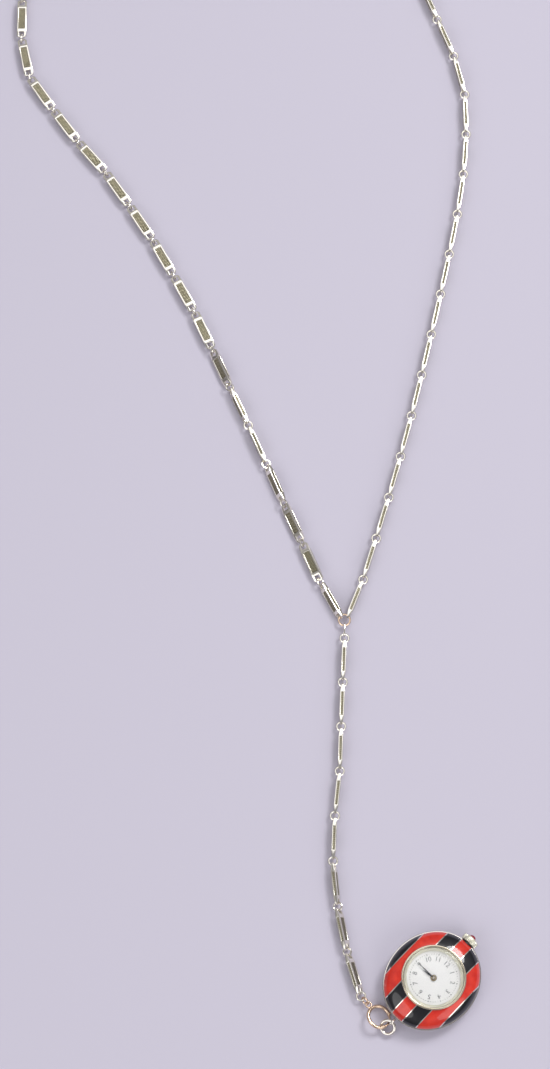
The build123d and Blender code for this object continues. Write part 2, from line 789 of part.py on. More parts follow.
def make_watch():
    """Every piece of the watch, in the watch's own frame with the crown at +Y."""
    parts = {}
    body, enamel_red, enamel_black, back = make_case_parts()
    parts["case_body"] = body
    parts["enamel_red"] = enamel_red
    parts["enamel_black"] = enamel_black
    parts["case_back"] = back
    parts["bezel_ring"] = make_bezel()
    parts["crystal"] = make_crystal()
    parts["reflector_ring"] = make_reflector()
    dial = prism(dial_radius, hollow_sides, dial_low, dial_low + dial_thickness)
    parts["dial"] = dial - prism(dial_hole, small_sides, dial_low, front_top)
    hour_hole = hour_tube_radius + seat_gap
    minute_hole = cannon_high_radius + seat_gap
    parts["hour_hand"] = make_hand(hour_hand_length, hour_hand_width, hour_hand_low, hour_hole, hour_hand_angle)
    parts["minute_hand"] = make_hand(
        minute_hand_length, minute_hand_width, minute_hand_low, minute_hole, minute_hand_angle
    )
    parts["bow_lug"] = make_lug()
    parts.update(make_train())
    parts["balance_wheel"] = make_balance()
    parts["pallet_fork"] = make_fork()
    parts["hairspring"] = make_hairspring()
    parts.update(make_plates())
    parts.update(make_motion_work())
    parts.update(make_winding_work())
    return parts


def chain_places():
    """Where each piece of the chain lies: ring centres, headings and bar ends, from the watch outwards."""
    away = course(watch_heading + 180)
    bow_drop = math.sqrt(bow_radius**2 - (lug_height - bow_height) ** 2)
    places = {"lug": away * lug_reach + Vector(0, 0, lug_height)}
    places["bow"] = away * (lug_reach + bow_drop) + Vector(0, 0, bow_height)
    out = course(clasp_heading)
    places["out"] = out
    clasp_centre = Vector(places["bow"].X, places["bow"].Y, clasp_height) + out * clasp_step
    places["clasp"] = clasp_centre
    eye_reach = clasp_radius + clasp_wire / 2 + eye_radius + eye_wire / 2 - eye_sink
    jump_reach = eye_reach + eye_radius - eye_wire / 2 + jump_radius - jump_wire / 2 - link_slack
    drop_reach = jump_reach + jump_radius - jump_wire / 2 + ring_radius - ring_wire / 2 - link_slack
    places["eye"] = clasp_centre + out * eye_reach
    jump_centre = clasp_centre + out * jump_reach
    places["jump"] = Vector(jump_centre.X, jump_centre.Y, (clasp_height + chain_height) / 2)
    foot = clasp_centre + out * drop_reach
    foot = Vector(foot.X, foot.Y, chain_height)
    drop_points = walk(foot, drop_headings)
    places["drop"] = drop_points
    link_start = ring_radius - ring_wire / 2 - connector_slack - connector_wire / 2
    link_end = junction_radius - ring_wire / 2 - connector_slack - connector_wire / 2
    ahead = course(0)
    places["connector"] = [drop_points[-1] + ahead * link_start]
    places["connector"].append(places["connector"][0] + ahead * connector_length)
    junction = places["connector"][1] + ahead * link_end
    places["junction"] = junction
    left_points = walk(junction - Vector(strand_offset, 0, 0), left_headings)
    right_points = walk(junction + Vector(strand_offset, 0, 0), right_headings)
    nape = nape_headings(left_points[-1], right_points[-1])
    half = nape_links // 2
    left_points += walk(left_points[-1], nape[:half])[1:]
    right_points += walk(right_points[-1], [heading + 180 for heading in reversed(nape[half:])])[1:]
    places["left"] = left_points
    places["right"] = right_points
    return places


def make_chain():
    """Bow ring, clasp, drop, connector, junction ring and both strands."""
    parts = {}
    places = chain_places()
    bow_plane = plane_on(places["bow"], places["bow"] - places["lug"], 0)
    parts["bow_ring"] = bow_plane.location * flat_ring(bow_radius, bow_wire, junction_sides)
    parts.update(make_clasp(places["clasp"], places["out"]))
    parts["clasp_jump_ring"] = ring_at(places["jump"], places["out"], clasp_tilt, jump_radius, jump_wire)
    drop_points = places["drop"]
    drop_rings = chain_rings(drop_rolls, 90, 90)
    ahead = course(0)
    drop = strand(drop_points + [drop_points[-1] + ahead * pitch], drop_rolls, drop_rings)
    drop[0].append(ring_at(drop_points[0], drop_points[1] - places["jump"], drop_rings[0]))
    for number, solids in enumerate(drop, 1):
        parts[f"drop_link_{number}"] = solids
    parts["drop_connector"] = make_connector(*places["connector"])
    junction = places["junction"]
    parts["junction_ring"] = ring_at(junction, ahead, 90, junction_radius, ring_wire, junction_sides)
    left_points = places["left"]
    right_points = places["right"]
    sides = [("left", left_points + [right_points[-2]], left_rolls + nape_left_rolls, left_groups)]
    sides.append(("right", right_points + [left_points[-2]], right_rolls + nape_right_rolls, right_groups))
    for side, points, rolls, groups in sides:
        links = strand(points, rolls, chain_rings(rolls, rolls[0], rolls[-1]))
        links[-1].pop()
        first = 0
        for number, count in enumerate(groups, 1):
            parts[f"{side}_strand_{number}"] = [solid for link in links[first : first + count] for solid in link]
            first += count
    return parts


def main():
    """Builds every piece and writes one file for each."""
    os.makedirs("parts", exist_ok=True)
    to_table = Rot(0, 0, -watch_heading)
    for name, piece in make_watch().items():
        group = piece if isinstance(piece, list) else [piece]
        save(name, [to_table * solid for solid in group])
    for name, piece in make_chain().items():
        save(name, piece)


bar_link = make_bar()

if __name__ == "__main__":
    main()
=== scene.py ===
"""Looks of the pendant watch: its case, dial, crown, clasp and chain of bar links."""

import logging
import math
from dataclasses import dataclass, field
from enum import Enum

import bmesh
import bpy
from mathutils import Matrix, Vector


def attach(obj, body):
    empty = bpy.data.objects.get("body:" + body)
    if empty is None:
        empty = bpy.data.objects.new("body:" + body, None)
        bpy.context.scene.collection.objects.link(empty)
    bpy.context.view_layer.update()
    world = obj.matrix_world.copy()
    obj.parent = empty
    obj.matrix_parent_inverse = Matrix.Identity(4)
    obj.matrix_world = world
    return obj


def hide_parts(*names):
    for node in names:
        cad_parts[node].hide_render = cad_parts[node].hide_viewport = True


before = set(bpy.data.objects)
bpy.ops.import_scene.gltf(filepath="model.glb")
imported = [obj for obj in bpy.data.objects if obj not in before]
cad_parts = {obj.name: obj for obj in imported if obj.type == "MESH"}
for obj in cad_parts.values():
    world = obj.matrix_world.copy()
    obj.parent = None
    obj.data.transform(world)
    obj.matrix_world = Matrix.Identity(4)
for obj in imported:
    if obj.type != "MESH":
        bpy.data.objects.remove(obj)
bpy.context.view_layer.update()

log = logging.getLogger("pendant_watch")

MM = 0.001
WATCH_HEADING = 44.2
MERGE_REACH = 0.0005
CUT_REACH = 0.0001
Colour = tuple[float, float, float]
Oval = tuple[float, float, float, float]
Outline = list[tuple[float, float]] | tuple[tuple[float, float], ...]


class Metal(Enum):
    """Metals of the watch and its chain."""

    SILVER = "silver"
    CHAMPAGNE = "champagne"
    CHAIN = "chain_metal"
    WARM = "warm_gold"
    SATIN = "satin_champagne"
    MOVEMENT = "movement"
    STEEL = "steel"


class Glaze(Enum):
    """Colours of the enamel."""

    RED = "enamel_red"
    BLACK = "enamel_black"


class Side(Enum):
    """The two strands above the junction ring."""

    LEFT = "left"
    RIGHT = "right"


class ShaderBench:
    """Adds and links the shader nodes of one material."""

    def __init__(self, name: str) -> None:
        """Starts a material with an empty node tree.

        Args:
            name: name of the material.
        """
        self.material = bpy.data.materials.new(name)
        self.material.use_nodes = True
        self.tree = self.material.node_tree
        self.tree.nodes.clear()
        self.output = self.add("ShaderNodeOutputMaterial")

    def add(self, kind: str, sockets: dict[str, object] | None = None, **settings: object) -> bpy.types.Node:
        """Adds a node.

        Args:
            kind: type of the node.
            sockets: values of its input sockets by name.
            settings: attributes of the node.

        Returns:
            The new node.
        """
        node = self.tree.nodes.new(kind)
        for key, value in settings.items():
            setattr(node, key, value)
        for key, value in (sockets or {}).items():
            node.inputs[key].default_value = value
        return node

    def link(self, source: bpy.types.Node, out: str, target: bpy.types.Node, into: str) -> None:
        """Links an output socket to an input socket."""
        self.tree.links.new(source.outputs[out], target.inputs[into])

    def principled(self, sockets: dict[str, object]) -> bpy.types.Node:
        """Adds the surface shader.

        Args:
            sockets: values of its input sockets by name.

        Returns:
            The shader node, linked to the output.
        """
        shader = self.add("ShaderNodeBsdfPrincipled", sockets)
        self.link(shader, "BSDF", self.output, "Surface")
        return shader

    def noise(self, scale: float, detail: float) -> bpy.types.Node:
        """Adds a noise pattern on the piece's own coordinates.

        Args:
            scale: steps of the pattern per metre.
            detail: detail of the pattern.

        Returns:
            The noise node.
        """
        place = self.add("ShaderNodeTexCoord")
        pattern = self.add("ShaderNodeTexNoise", {"Scale": scale, "Detail": detail})
        self.link(place, "Object", pattern, "Vector")
        return pattern

    def spread(self, source: bpy.types.Node, out: str, low: float, high: float) -> bpy.types.Node:
        """Maps a pattern to a range of values.

        Args:
            source: node of the pattern.
            out: its output.
            low: value at the pattern's low end.
            high: value at its high end.

        Returns:
            The mapping node, whose output is Result.
        """
        ranged = self.add("ShaderNodeMapRange", {"From Min": 0.3, "From Max": 0.7, "To Min": low, "To Max": high})
        self.link(source, out, ranged, "Value")
        return ranged

    def blend(self, shader: bpy.types.Node, source: bpy.types.Node, out: str, first: Colour, second: Colour) -> None:
        """Colours the surface between two colours by a pattern.

        Args:
            shader: surface shader.
            source: node of the pattern.
            out: its output.
            first: colour at the pattern's low end.
            second: colour at its high end.
        """
        mix = self.add("ShaderNodeMixRGB", {"Color1": (*first, 1.0), "Color2": (*second, 1.0)})
        self.link(source, out, mix, "Fac")
        self.link(mix, "Color", shader, "Base Color")

    def ripple(self, shader: bpy.types.Node, source: bpy.types.Node, out: str, strength: float, depth: float) -> None:
        """Shades the surface as if a pattern were raised on it.

        Args:
            shader: surface shader.
            source: node of the pattern.
            out: its output.
            strength: strength of the shading.
            depth: height of the pattern in metres.
        """
        bump = self.add("ShaderNodeBump", {"Strength": strength, "Distance": depth})
        self.link(source, out, bump, "Height")
        self.link(bump, "Normal", shader, "Normal")


def darker(colour: Colour, share: float) -> Colour:
    """Colour brought down to a share of its level."""
    return tuple(channel * share for channel in colour)


@dataclass(frozen=True)
class MetalFinish:
    """Polished metal with faint handling marks."""

    metal: Metal
    colour: Colour
    roughness: float
    marks: float = 0.04
    bump: float = 0.06
    mark_scale: float = 1400.0
    tone_scale: float = 260.0
    tone_share: float = 0.6
    dull: float = 0.86

    def make(self) -> bpy.types.Material:
        """Builds the material.

        Returns:
            The finished material.
        """
        bench = ShaderBench(self.metal.value)
        shader = bench.principled({"Base Color": (*self.colour, 1.0), "Metallic": 1.0})
        marks = bench.noise(self.mark_scale, 5.0)
        rough = bench.spread(marks, "Fac", self.roughness, self.roughness + self.marks)
        bench.link(rough, "Result", shader, "Roughness")
        share = bench.spread(bench.noise(self.tone_scale, 2.0), "Fac", 0.0, self.tone_share)
        bench.blend(shader, share, "Result", self.colour, darker(self.colour, self.dull))
        bench.ripple(shader, marks, "Fac", self.bump, 0.00005)
        return bench.material


@dataclass(frozen=True)
class EngravedFinish:
    """Panel of a bar link, cut with crossed fine lines that follow the bar."""

    name: str = "engraved_panel"
    colour: Colour = (0.58, 0.54, 0.38)
    groove: Colour = (0.17, 0.15, 0.10)
    pitch: float = 0.42
    slant: float = 38.0
    roughness: float = 0.30

    def make(self) -> bpy.types.Material:
        """Builds the material.

        Returns:
            The finished material.
        """
        bench = ShaderBench(self.name)
        shader = bench.principled({"Metallic": 1.0, "Roughness": self.roughness})
        layer = bench.add("ShaderNodeUVMap", uv_map="along_bar")
        heights = []
        for turn in (self.slant, -self.slant):
            place = bench.add("ShaderNodeMapping", {"Rotation": (0.0, 0.0, math.radians(turn))})
            bench.link(layer, "UV", place, "Vector")
            scale = math.pi / 10.0 / self.pitch
            sockets = {"Scale": scale, "Distortion": 0.6, "Detail": 1.0, "Detail Scale": 2.0}
            lines = bench.add("ShaderNodeTexWave", sockets)
            bench.link(place, "Vector", lines, "Vector")
            heights.append(lines)
        crossed = bench.add("ShaderNodeMath", operation="MULTIPLY")
        for lines, socket in zip(heights, crossed.inputs):
            bench.tree.links.new(lines.outputs["Fac"], socket)
        bench.blend(shader, crossed, "Value", self.groove, self.colour)
        bench.ripple(shader, crossed, "Value", 0.8, 0.00008)
        return bench.material


@dataclass(frozen=True)
class EnamelFinish:
    """Glossy fired enamel with a soft mottle under its clear surface."""

    glaze: Glaze
    colour: Colour
    deep: Colour
    coat: float = 1.0
    mottle_scale: float = 420.0

    def make(self) -> bpy.types.Material:
        """Builds the material.

        Returns:
            The finished material.
        """
        bench = ShaderBench(self.glaze.value)
        sockets = {"Roughness": 0.3, "Specular IOR Level": 0.12, "Coat Weight": self.coat, "Coat Roughness": 0.05}
        shader = bench.principled(sockets)
        mottle = bench.noise(self.mottle_scale, 4.0)
        share = bench.spread(mottle, "Fac", 0.0, 1.0)
        bench.blend(shader, share, "Result", self.colour, self.deep)
        bench.ripple(shader, mottle, "Fac", 0.05, 0.0001)
        return bench.material


@dataclass(frozen=True)
class StoneFinish:
    """Clear glass or stone with a faint inner cloud."""

    name: str
    colour: Colour
    ior: float
    transmission: float
    alpha: float = 1.0
    cloud_scale: float = 300.0

    def make(self) -> bpy.types.Material:
        """Builds the material.

        Returns:
            The finished material.
        """
        bench = ShaderBench(self.name)
        sockets = {"IOR": self.ior, "Transmission Weight": self.transmission, "Alpha": self.alpha}
        shader = bench.principled({**sockets, "Base Color": (*self.colour, 1.0)})
        rough = bench.spread(bench.noise(self.cloud_scale, 2.0), "Fac", 0.0, 0.03)
        bench.link(rough, "Result", shader, "Roughness")
        return bench.material


@dataclass(frozen=True)
class PaintFinish:
    """Thin satin coat on the dial, its figures and its hands."""

    name: str
    colour: Colour
    roughness: float
    metallic: float = 0.0
    grain_scale: float = 2600.0
    dull: float = 0.93

    def make(self) -> bpy.types.Material:
        """Builds the material.

        Returns:
            The finished material.
        """
        bench = ShaderBench(self.name)
        shader = bench.principled({"Base Color": (*self.colour, 1.0), "Metallic": self.metallic})
        grain = bench.noise(self.grain_scale, 4.0)
        rough = bench.spread(grain, "Fac", self.roughness, self.roughness + 0.12)
        bench.link(rough, "Result", shader, "Roughness")
        bench.blend(shader, grain, "Fac", self.colour, darker(self.colour, self.dull))
        return bench.material


@dataclass
class Finishes:
    """Every finish of the object, made once."""

    metals: dict[Metal, bpy.types.Material] = field(default_factory=dict)
    glazes: dict[Glaze, bpy.types.Material] = field(default_factory=dict)
    others: dict[str, bpy.types.Material] = field(default_factory=dict)

    def make(self) -> "Finishes":
        """Makes all the materials.

        Returns:
            This set, filled.
        """
        metals = [
            MetalFinish(Metal.SILVER, (0.82, 0.77, 0.71), 0.10),
            MetalFinish(Metal.CHAMPAGNE, (0.84, 0.76, 0.58), 0.12),
            MetalFinish(Metal.CHAIN, (0.90, 0.86, 0.77), 0.13),
            MetalFinish(Metal.WARM, (0.82, 0.62, 0.46), 0.16),
            MetalFinish(Metal.SATIN, (0.88, 0.86, 0.72), 0.36, 0.08, 0.03),
            MetalFinish(Metal.MOVEMENT, (0.78, 0.62, 0.34), 0.30),
            MetalFinish(Metal.STEEL, (0.55, 0.55, 0.57), 0.25),
        ]
        for finish in metals:
            self.metals[finish.metal] = finish.make()
        glazes = [
            EnamelFinish(Glaze.RED, (0.80, 0.045, 0.022), (0.62, 0.022, 0.014)),
            EnamelFinish(Glaze.BLACK, (0.012, 0.012, 0.016), (0.006, 0.006, 0.009)),
        ]
        for glaze in glazes:
            self.glazes[glaze.glaze] = glaze.make()
        rest = [
            EngravedFinish(),
            StoneFinish("crystal", (1.0, 1.0, 1.0), 1.4, 1.0, 0.35),
            StoneFinish("ruby", (0.42, 0.008, 0.03), 1.6, 0.35),
            PaintFinish("dial_silver", (0.96, 0.96, 0.95), 0.45),
            PaintFinish("ink", (0.20, 0.20, 0.21), 0.45),
            PaintFinish("hand_blue", (0.03, 0.03, 0.045), 0.22, 0.6),
            # Near-black coat of the neck under the crown: painted shade for the dark gap between case and crown.
            PaintFinish("painted_shade_coat", (0.015, 0.014, 0.016), 0.30, 0.3),
        ]
        for other in rest:
            self.others[other.name] = other.make()
        return self


def only_verts(items: list[object]) -> list[bmesh.types.BMVert]:
    """Vertices among the items of a mesh."""
    return [item for item in items if isinstance(item, bmesh.types.BMVert)]


class Bench:
    """Workbench that shapes one piece in millimetres and sets it in its place."""

    def __init__(self, turn: bool = True) -> None:
        """Starts an empty mesh.

        Args:
            turn: whether the piece is drawn with the crown at +Y and turned to its heading.
        """
        self.mesh = bmesh.new()
        self.turn = turn

    def spin_outline(self, outline: Outline, steps: int, angle: float = 360.0) -> None:
        """Turns a closed outline of radii and heights round the Z axis.

        Args:
            outline: radii and heights in order.
            steps: number of steps of the turn.
            angle: angle of the turn in degrees.
        """
        verts = [self.mesh.verts.new((radius, 0.0, height)) for radius, height in outline]
        edges = [self.mesh.edges.new((a, b)) for a, b in zip(verts, verts[1:] + verts[:1])]
        full = angle >= 360.0
        turn = {"cent": (0, 0, 0), "axis": (0, 0, 1), "angle": math.radians(angle)}
        result = bmesh.ops.spin(self.mesh, geom=verts + edges, steps=steps, use_merge=full, **turn)
        if not full:
            for loop in (verts, only_verts(result["geom_last"])):
                bmesh.ops.contextual_create(self.mesh, geom=loop)
        bmesh.ops.remove_doubles(self.mesh, verts=self.mesh.verts, dist=MERGE_REACH)

    def torus(self, radius: float, wire: float, steps: int = 32, sides: int = 12, angle: float = 360.0) -> None:
        """Turns a round section into a ring, or part of one, about Z.

        Args:
            radius: radius of the ring's centre line.
            wire: diameter of its wire.
            steps: number of steps round the ring.
            sides: number of sides of the section.
            angle: angle of the turn in degrees.
        """
        section = [
            (radius + wire / 2 * math.cos(math.tau * side / sides), wire / 2 * math.sin(math.tau * side / sides))
            for side in range(sides)
        ]
        self.spin_outline(section, steps, angle=angle)

    def stack_ovals(self, ovals: list[Oval], segments: int) -> None:
        """Skins a run of level ovals.

        Args:
            ovals: half width, half length, shift towards -Y and height of each.
            segments: number of points round each oval.
        """
        verts = bmesh.ops.create_circle(self.mesh, segments=segments, radius=1.0)["verts"]
        edges = list({edge for vert in verts for edge in vert.link_edges})
        seat = Matrix.Identity(4)
        for index, (half_x, half_y, shift, height) in enumerate(ovals):
            if index:
                moved = bmesh.ops.extrude_edge_only(self.mesh, edges=edges)["geom"]
                verts = only_verts(moved)
                edges = [item for item in moved if isinstance(item, bmesh.types.BMEdge)]
            wanted = Matrix.Translation((0, -shift, height)) @ Matrix.Diagonal((half_x, half_y, 1, 1))
            bmesh.ops.transform(self.mesh, matrix=wanted @ seat.inverted(), verts=verts)
            seat = wanted

    def close_loops(self) -> None:
        """Closes the open ends of the mesh by one face each."""
        bmesh.ops.holes_fill(self.mesh, edges=self.mesh.edges, sides=0)

    def face_outwards(self) -> None:
        """Merges doubles and turns all faces outwards."""
        bmesh.ops.remove_doubles(self.mesh, verts=self.mesh.verts, dist=MERGE_REACH)
        bmesh.ops.recalc_face_normals(self.mesh, faces=self.mesh.faces)

    def cut(self, place: tuple[float, float, float], normal: tuple[float, float, float], clear: bool = False) -> None:
        """Cuts the mesh by a plane.

        Args:
            place: point of the plane.
            normal: direction across the plane.
            clear: whether what lies beyond the plane goes.
        """
        everything = [*self.mesh.verts, *self.mesh.edges, *self.mesh.faces]
        plane = {"plane_co": place, "plane_no": normal, "dist": CUT_REACH}
        bmesh.ops.bisect_plane(self.mesh, geom=everything, clear_outer=clear, **plane)

    def thicken(self, height: float) -> None:
        """Gives a flat sheet a thickness by raising a copy of its faces."""
        raised = bmesh.ops.extrude_face_region(self.mesh, geom=self.mesh.faces[:])["geom"]
        bmesh.ops.translate(self.mesh, vec=(0, 0, height), verts=only_verts(raised))

    def sink_panel(self, faces: list[bmesh.types.BMFace], margin: float, slope: float, depth: float) -> None:
        """Sinks a panel into a face, inside a raised margin.

        Args:
            faces: faces that make up the field.
            margin: width of the margin.
            slope: width of the slope down to the panel.
            depth: depth of the panel.
        """
        for width, drop in ((margin, 0.0), (slope, -depth)):
            step = {"thickness": width, "depth": drop, "use_even_offset": True, "use_boundary": True}
            bmesh.ops.inset_region(self.mesh, faces=faces, **step)
        for face in faces:
            face.material_index = 1

    def sharp_edges(self, degrees: float) -> list[bmesh.types.BMEdge]:
        """Edges between two faces that meet at more than an angle."""
        least = math.radians(degrees)
        return [edge for edge in self.mesh.edges if len(edge.link_faces) == 2 and edge.calc_face_angle(0.0) > least]

    def soften(self, width: float, segments: int = 2, sharper: float = 35.0) -> None:
        """Bevels the edges that are sharper than an angle.

        Args:
            width: width of the bevel.
            segments: number of segments.
            sharper: least angle between two faces, in degrees.
        """
        self.face_outwards()
        style = {"affect": "EDGES", "segments": segments, "profile": 0.5, "material": -1, "clamp_overlap": True}
        bmesh.ops.bevel(self.mesh, geom=self.sharp_edges(sharper), offset=width, **style)

    def move(self, matrix: Matrix) -> None:
        """Moves the whole mesh by a matrix in millimetres."""
        bmesh.ops.transform(self.mesh, matrix=matrix, verts=self.mesh.verts)

    def add(self, other: "Bench", matrix: Matrix, slot: int | None = None) -> None:
        """Adds a copy of another bench's mesh.

        Args:
            other: bench whose mesh is copied.
            matrix: place of the copy.
            slot: material slot of all its faces, or None to keep theirs.
        """
        copied = bpy.data.meshes.new("copied")
        other.mesh.to_mesh(copied)
        copied.transform(matrix)
        before = len(self.mesh.faces)
        self.mesh.from_mesh(copied)
        bpy.data.meshes.remove(copied)
        if slot is not None:
            self.mesh.faces.ensure_lookup_table()
            for face in self.mesh.faces[before:]:
                face.material_index = slot

    def finish(
        self,
        name: str,
        body: str,
        slot: str,
        materials: list[bpy.types.Material],
        nodes: tuple[str, ...] = (),
        smooth: float = 30.0,
    ) -> None:
        """Makes the object, smooths it and hands it to the frame.

        Args:
            name: name of the piece.
            body: body that it rides on.
            slot: material slot of the record; not used.
            materials: its materials in the order of its face slots.
            nodes: CAD nodes that it stands for.
            smooth: greatest angle that is shaded smooth, in degrees.
        """
        if self.turn:
            self.move(Matrix.Rotation(math.radians(-WATCH_HEADING), 4, "Z"))
        self.move(Matrix.Scale(MM, 4))
        data = bpy.data.meshes.new(name)
        for face in self.mesh.faces:
            face.smooth = True
        for edge in self.sharp_edges(smooth):
            edge.smooth = False
        self.mesh.to_mesh(data)
        self.mesh.free()
        for material in materials:
            data.materials.append(material)
        piece = bpy.data.objects.new(name, data)
        bpy.context.scene.collection.objects.link(piece)
        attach(piece, body)
        if nodes:
            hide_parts(*nodes)
        log.info("%s: %d faces on %s", name, len(data.polygons), body)


def rotation(axis: str, degrees: float) -> Matrix:
    """Turn about a named axis, in degrees."""
    return Matrix.Rotation(math.radians(degrees), 4, axis)


def shift_by(x: float, y: float, z: float) -> Matrix:
    """Move along the three axes."""
    return Matrix.Translation((x, y, z))


@dataclass
class Case:
    """Oval case with its striped front, back, lug and pendant tube."""

    finishes: Finishes
    half_width: float = 12.5
    half_length: float = 14.2
    shift: float = 0.5
    girdle_low: float = 3.3
    girdle_high: float = 4.3
    lip: float = 0.25
    front_top: float = 8.1
    seat_radius: float = 8.85
    dome_angle: float = 64.0
    back_angle: float = 66.0
    rest: tuple[float, float] = (6.2, 7.4)
    well_radius: float = 9.2
    well_floor: float = 1.0
    stripe_edges: tuple[float, ...] = (1.85, 5.75, 10.4)
    wire: float = 0.26
    wall: float = 0.35
    segments: int = 128
    bands: int = 18
    glaze_sink: float = 0.03
    rim_curve: Outline = ((0.0, 0.0), (0.14, 0.02), (0.23, 0.1), (0.25, 0.24))
    rim_depth: float = 1.2
    seat_outline: Outline = ((8.3, 7.2), (8.3, 8.08), (8.9, 8.08), (9.1, 7.9), (9.1, 7.2))
    lug_place: tuple[float, float, float] = (0.0, -16.3, 2.6)
    lug_radius: float = 1.02
    lug_wire: float = 0.55
    lug_stretch: float = 1.25

    def shell_ovals(self, arc: float, small: Colour, large: Colour, heights: tuple[float, float]) -> list[Oval]:
        """Ovals of a domed shell, from the girdle to its small end.

        Args:
            arc: angle of the shell's arc, in degrees.
            small: half width, half length and shift at the small end.
            large: the same at the girdle.
            heights: heights of the girdle and of the small end.

        Returns:
            Half width, half length, shift and height of each oval.
        """
        floor, top = math.cos(math.radians(arc)), math.sin(math.radians(arc))
        ovals = []
        for band in range(self.bands + 1):
            angle = math.radians(arc * band / self.bands)
            share = (math.cos(angle) - floor) / (1 - floor)
            sizes = [low + (high - low) * share for low, high in zip(small, large)]
            ovals.append((*sizes, heights[0] + (heights[1] - heights[0]) * math.sin(angle) / top))
        return ovals

    def dome_ovals(self) -> list[Oval]:
        """Ovals of the front shell, from the girdle to the bezel seat."""
        small = (self.seat_radius, self.seat_radius, 0.0)
        large = (self.half_width, self.half_length, self.shift)
        return self.shell_ovals(self.dome_angle, small, large, (self.girdle_high, self.front_top))

    def back_ovals(self) -> list[Oval]:
        """Ovals of the back, from its rest flat to the girdle."""
        large = (self.half_width + self.lip, self.half_length + self.lip, self.shift)
        return self.shell_ovals(self.back_angle, (*self.rest, self.shift), large, (self.girdle_low, 0.0))[::-1]

    def stripe_of(self, lateral: float) -> int:
        """Stripe at a distance from the long axis: 0 for red, 1 for black, 2 for a silver wire."""
        distance = abs(lateral)
        for edge in self.stripe_edges:
            if abs(distance - edge) < self.wire / 2:
                return 2
        number = sum(distance > edge for edge in self.stripe_edges)
        return number % 2

    def dome_skin(self, stripe: int, sink: float) -> Bench:
        """Part of the front shell that belongs to one kind of stripe, with its thickness.

        Args:
            stripe: 0 for red, 1 for black, 2 for the wires.
            sink: how far the stripe lies under the full surface.

        Returns:
            The bench that holds it.
        """
        bench = Bench()
        bench.stack_ovals(self.dome_ovals(), self.segments)
        for edge in self.stripe_edges:
            for side in (-1, 1):
                for offset in (-self.wire / 2, self.wire / 2):
                    bench.cut((side * edge + offset, 0, 0), (1, 0, 0))
        wrong = [face for face in bench.mesh.faces if self.stripe_of(face.calc_center_median().x) != stripe]
        bmesh.ops.delete(bench.mesh, geom=wrong, context="FACES")
        bmesh.ops.recalc_face_normals(bench.mesh, faces=bench.mesh.faces)
        if sum(face.normal.z for face in bench.mesh.faces) < 0:
            bmesh.ops.reverse_faces(bench.mesh, faces=bench.mesh.faces)
        bench.mesh.normal_update()
        for vert in bench.mesh.verts:
            vert.co -= vert.normal * sink
        bmesh.ops.solidify(bench.mesh, geom=list(bench.mesh.faces), thickness=self.wall)
        bench.face_outwards()
        return bench

    def silver(self) -> list[bpy.types.Material]:
        """Materials of a piece that is all silver."""
        return [self.finishes.metals[Metal.SILVER]]

    def build(self) -> None:
        """Builds the pieces of the case."""
        for glaze, stripe in ((Glaze.RED, 0), (Glaze.BLACK, 1)):
            skin = self.dome_skin(stripe, self.glaze_sink)
            skin.finish(f"{glaze.value}_stripes", "case", glaze.value, [self.finishes.glazes[glaze]], (glaze.value,))
        self.dome_skin(2, 0.0).finish("silver_wires", "case", "silver", self.silver())
        self.build_girdle()
        self.build_back()
        self.build_lug()

    def build_girdle(self) -> None:
        """Builds the rim between the front and the back, and the seat of the bezel."""
        bench = Bench()
        outline = [(-self.rim_depth, self.girdle_high - 0.05)]
        outline += [(out, self.girdle_high - drop) for out, drop in self.rim_curve]
        outline += [(out, self.girdle_low + rise) for out, rise in reversed(self.rim_curve)]
        outline.append((-self.rim_depth, self.girdle_low))
        ovals = [(self.half_width + out, self.half_length + out, self.shift, height) for out, height in outline]
        bench.stack_ovals(ovals, self.segments)
        rims = [edge for edge in bench.mesh.edges if edge.is_boundary]
        bmesh.ops.bridge_loops(bench.mesh, edges=rims)
        bench.face_outwards()
        seat = Bench()
        seat.spin_outline(self.seat_outline, 96)
        seat.face_outwards()
        bench.add(seat, Matrix.Identity(4))
        seat.mesh.free()
        bench.finish("case_rim", "case", "silver", self.silver(), ("case_body",))

    def build_back(self) -> None:
        """Builds the bowl of the back, with the well that holds the movement."""
        bench = Bench()
        well = [(self.well_radius, self.well_radius, 0.0, height) for height in (self.girdle_low, self.well_floor)]
        bench.stack_ovals(self.back_ovals() + well, self.segments)
        bench.close_loops()
        bench.face_outwards()
        bench.finish("back_cover", "case", "silver", self.silver(), ("case_back",))

    def build_lug(self) -> None:
        """Builds the eyelet at the lower end."""
        bench = Bench()
        bench.torus(self.lug_radius, self.lug_wire, 32, 12)
        bench.move(Matrix.Diagonal((1, 1, self.lug_stretch, 1)))
        bench.face_outwards()
        bench.move(shift_by(*self.lug_place) @ rotation("Y", 90))
        bench.finish("lug_eyelet", "case", "silver", self.silver(), ("bow_lug",))


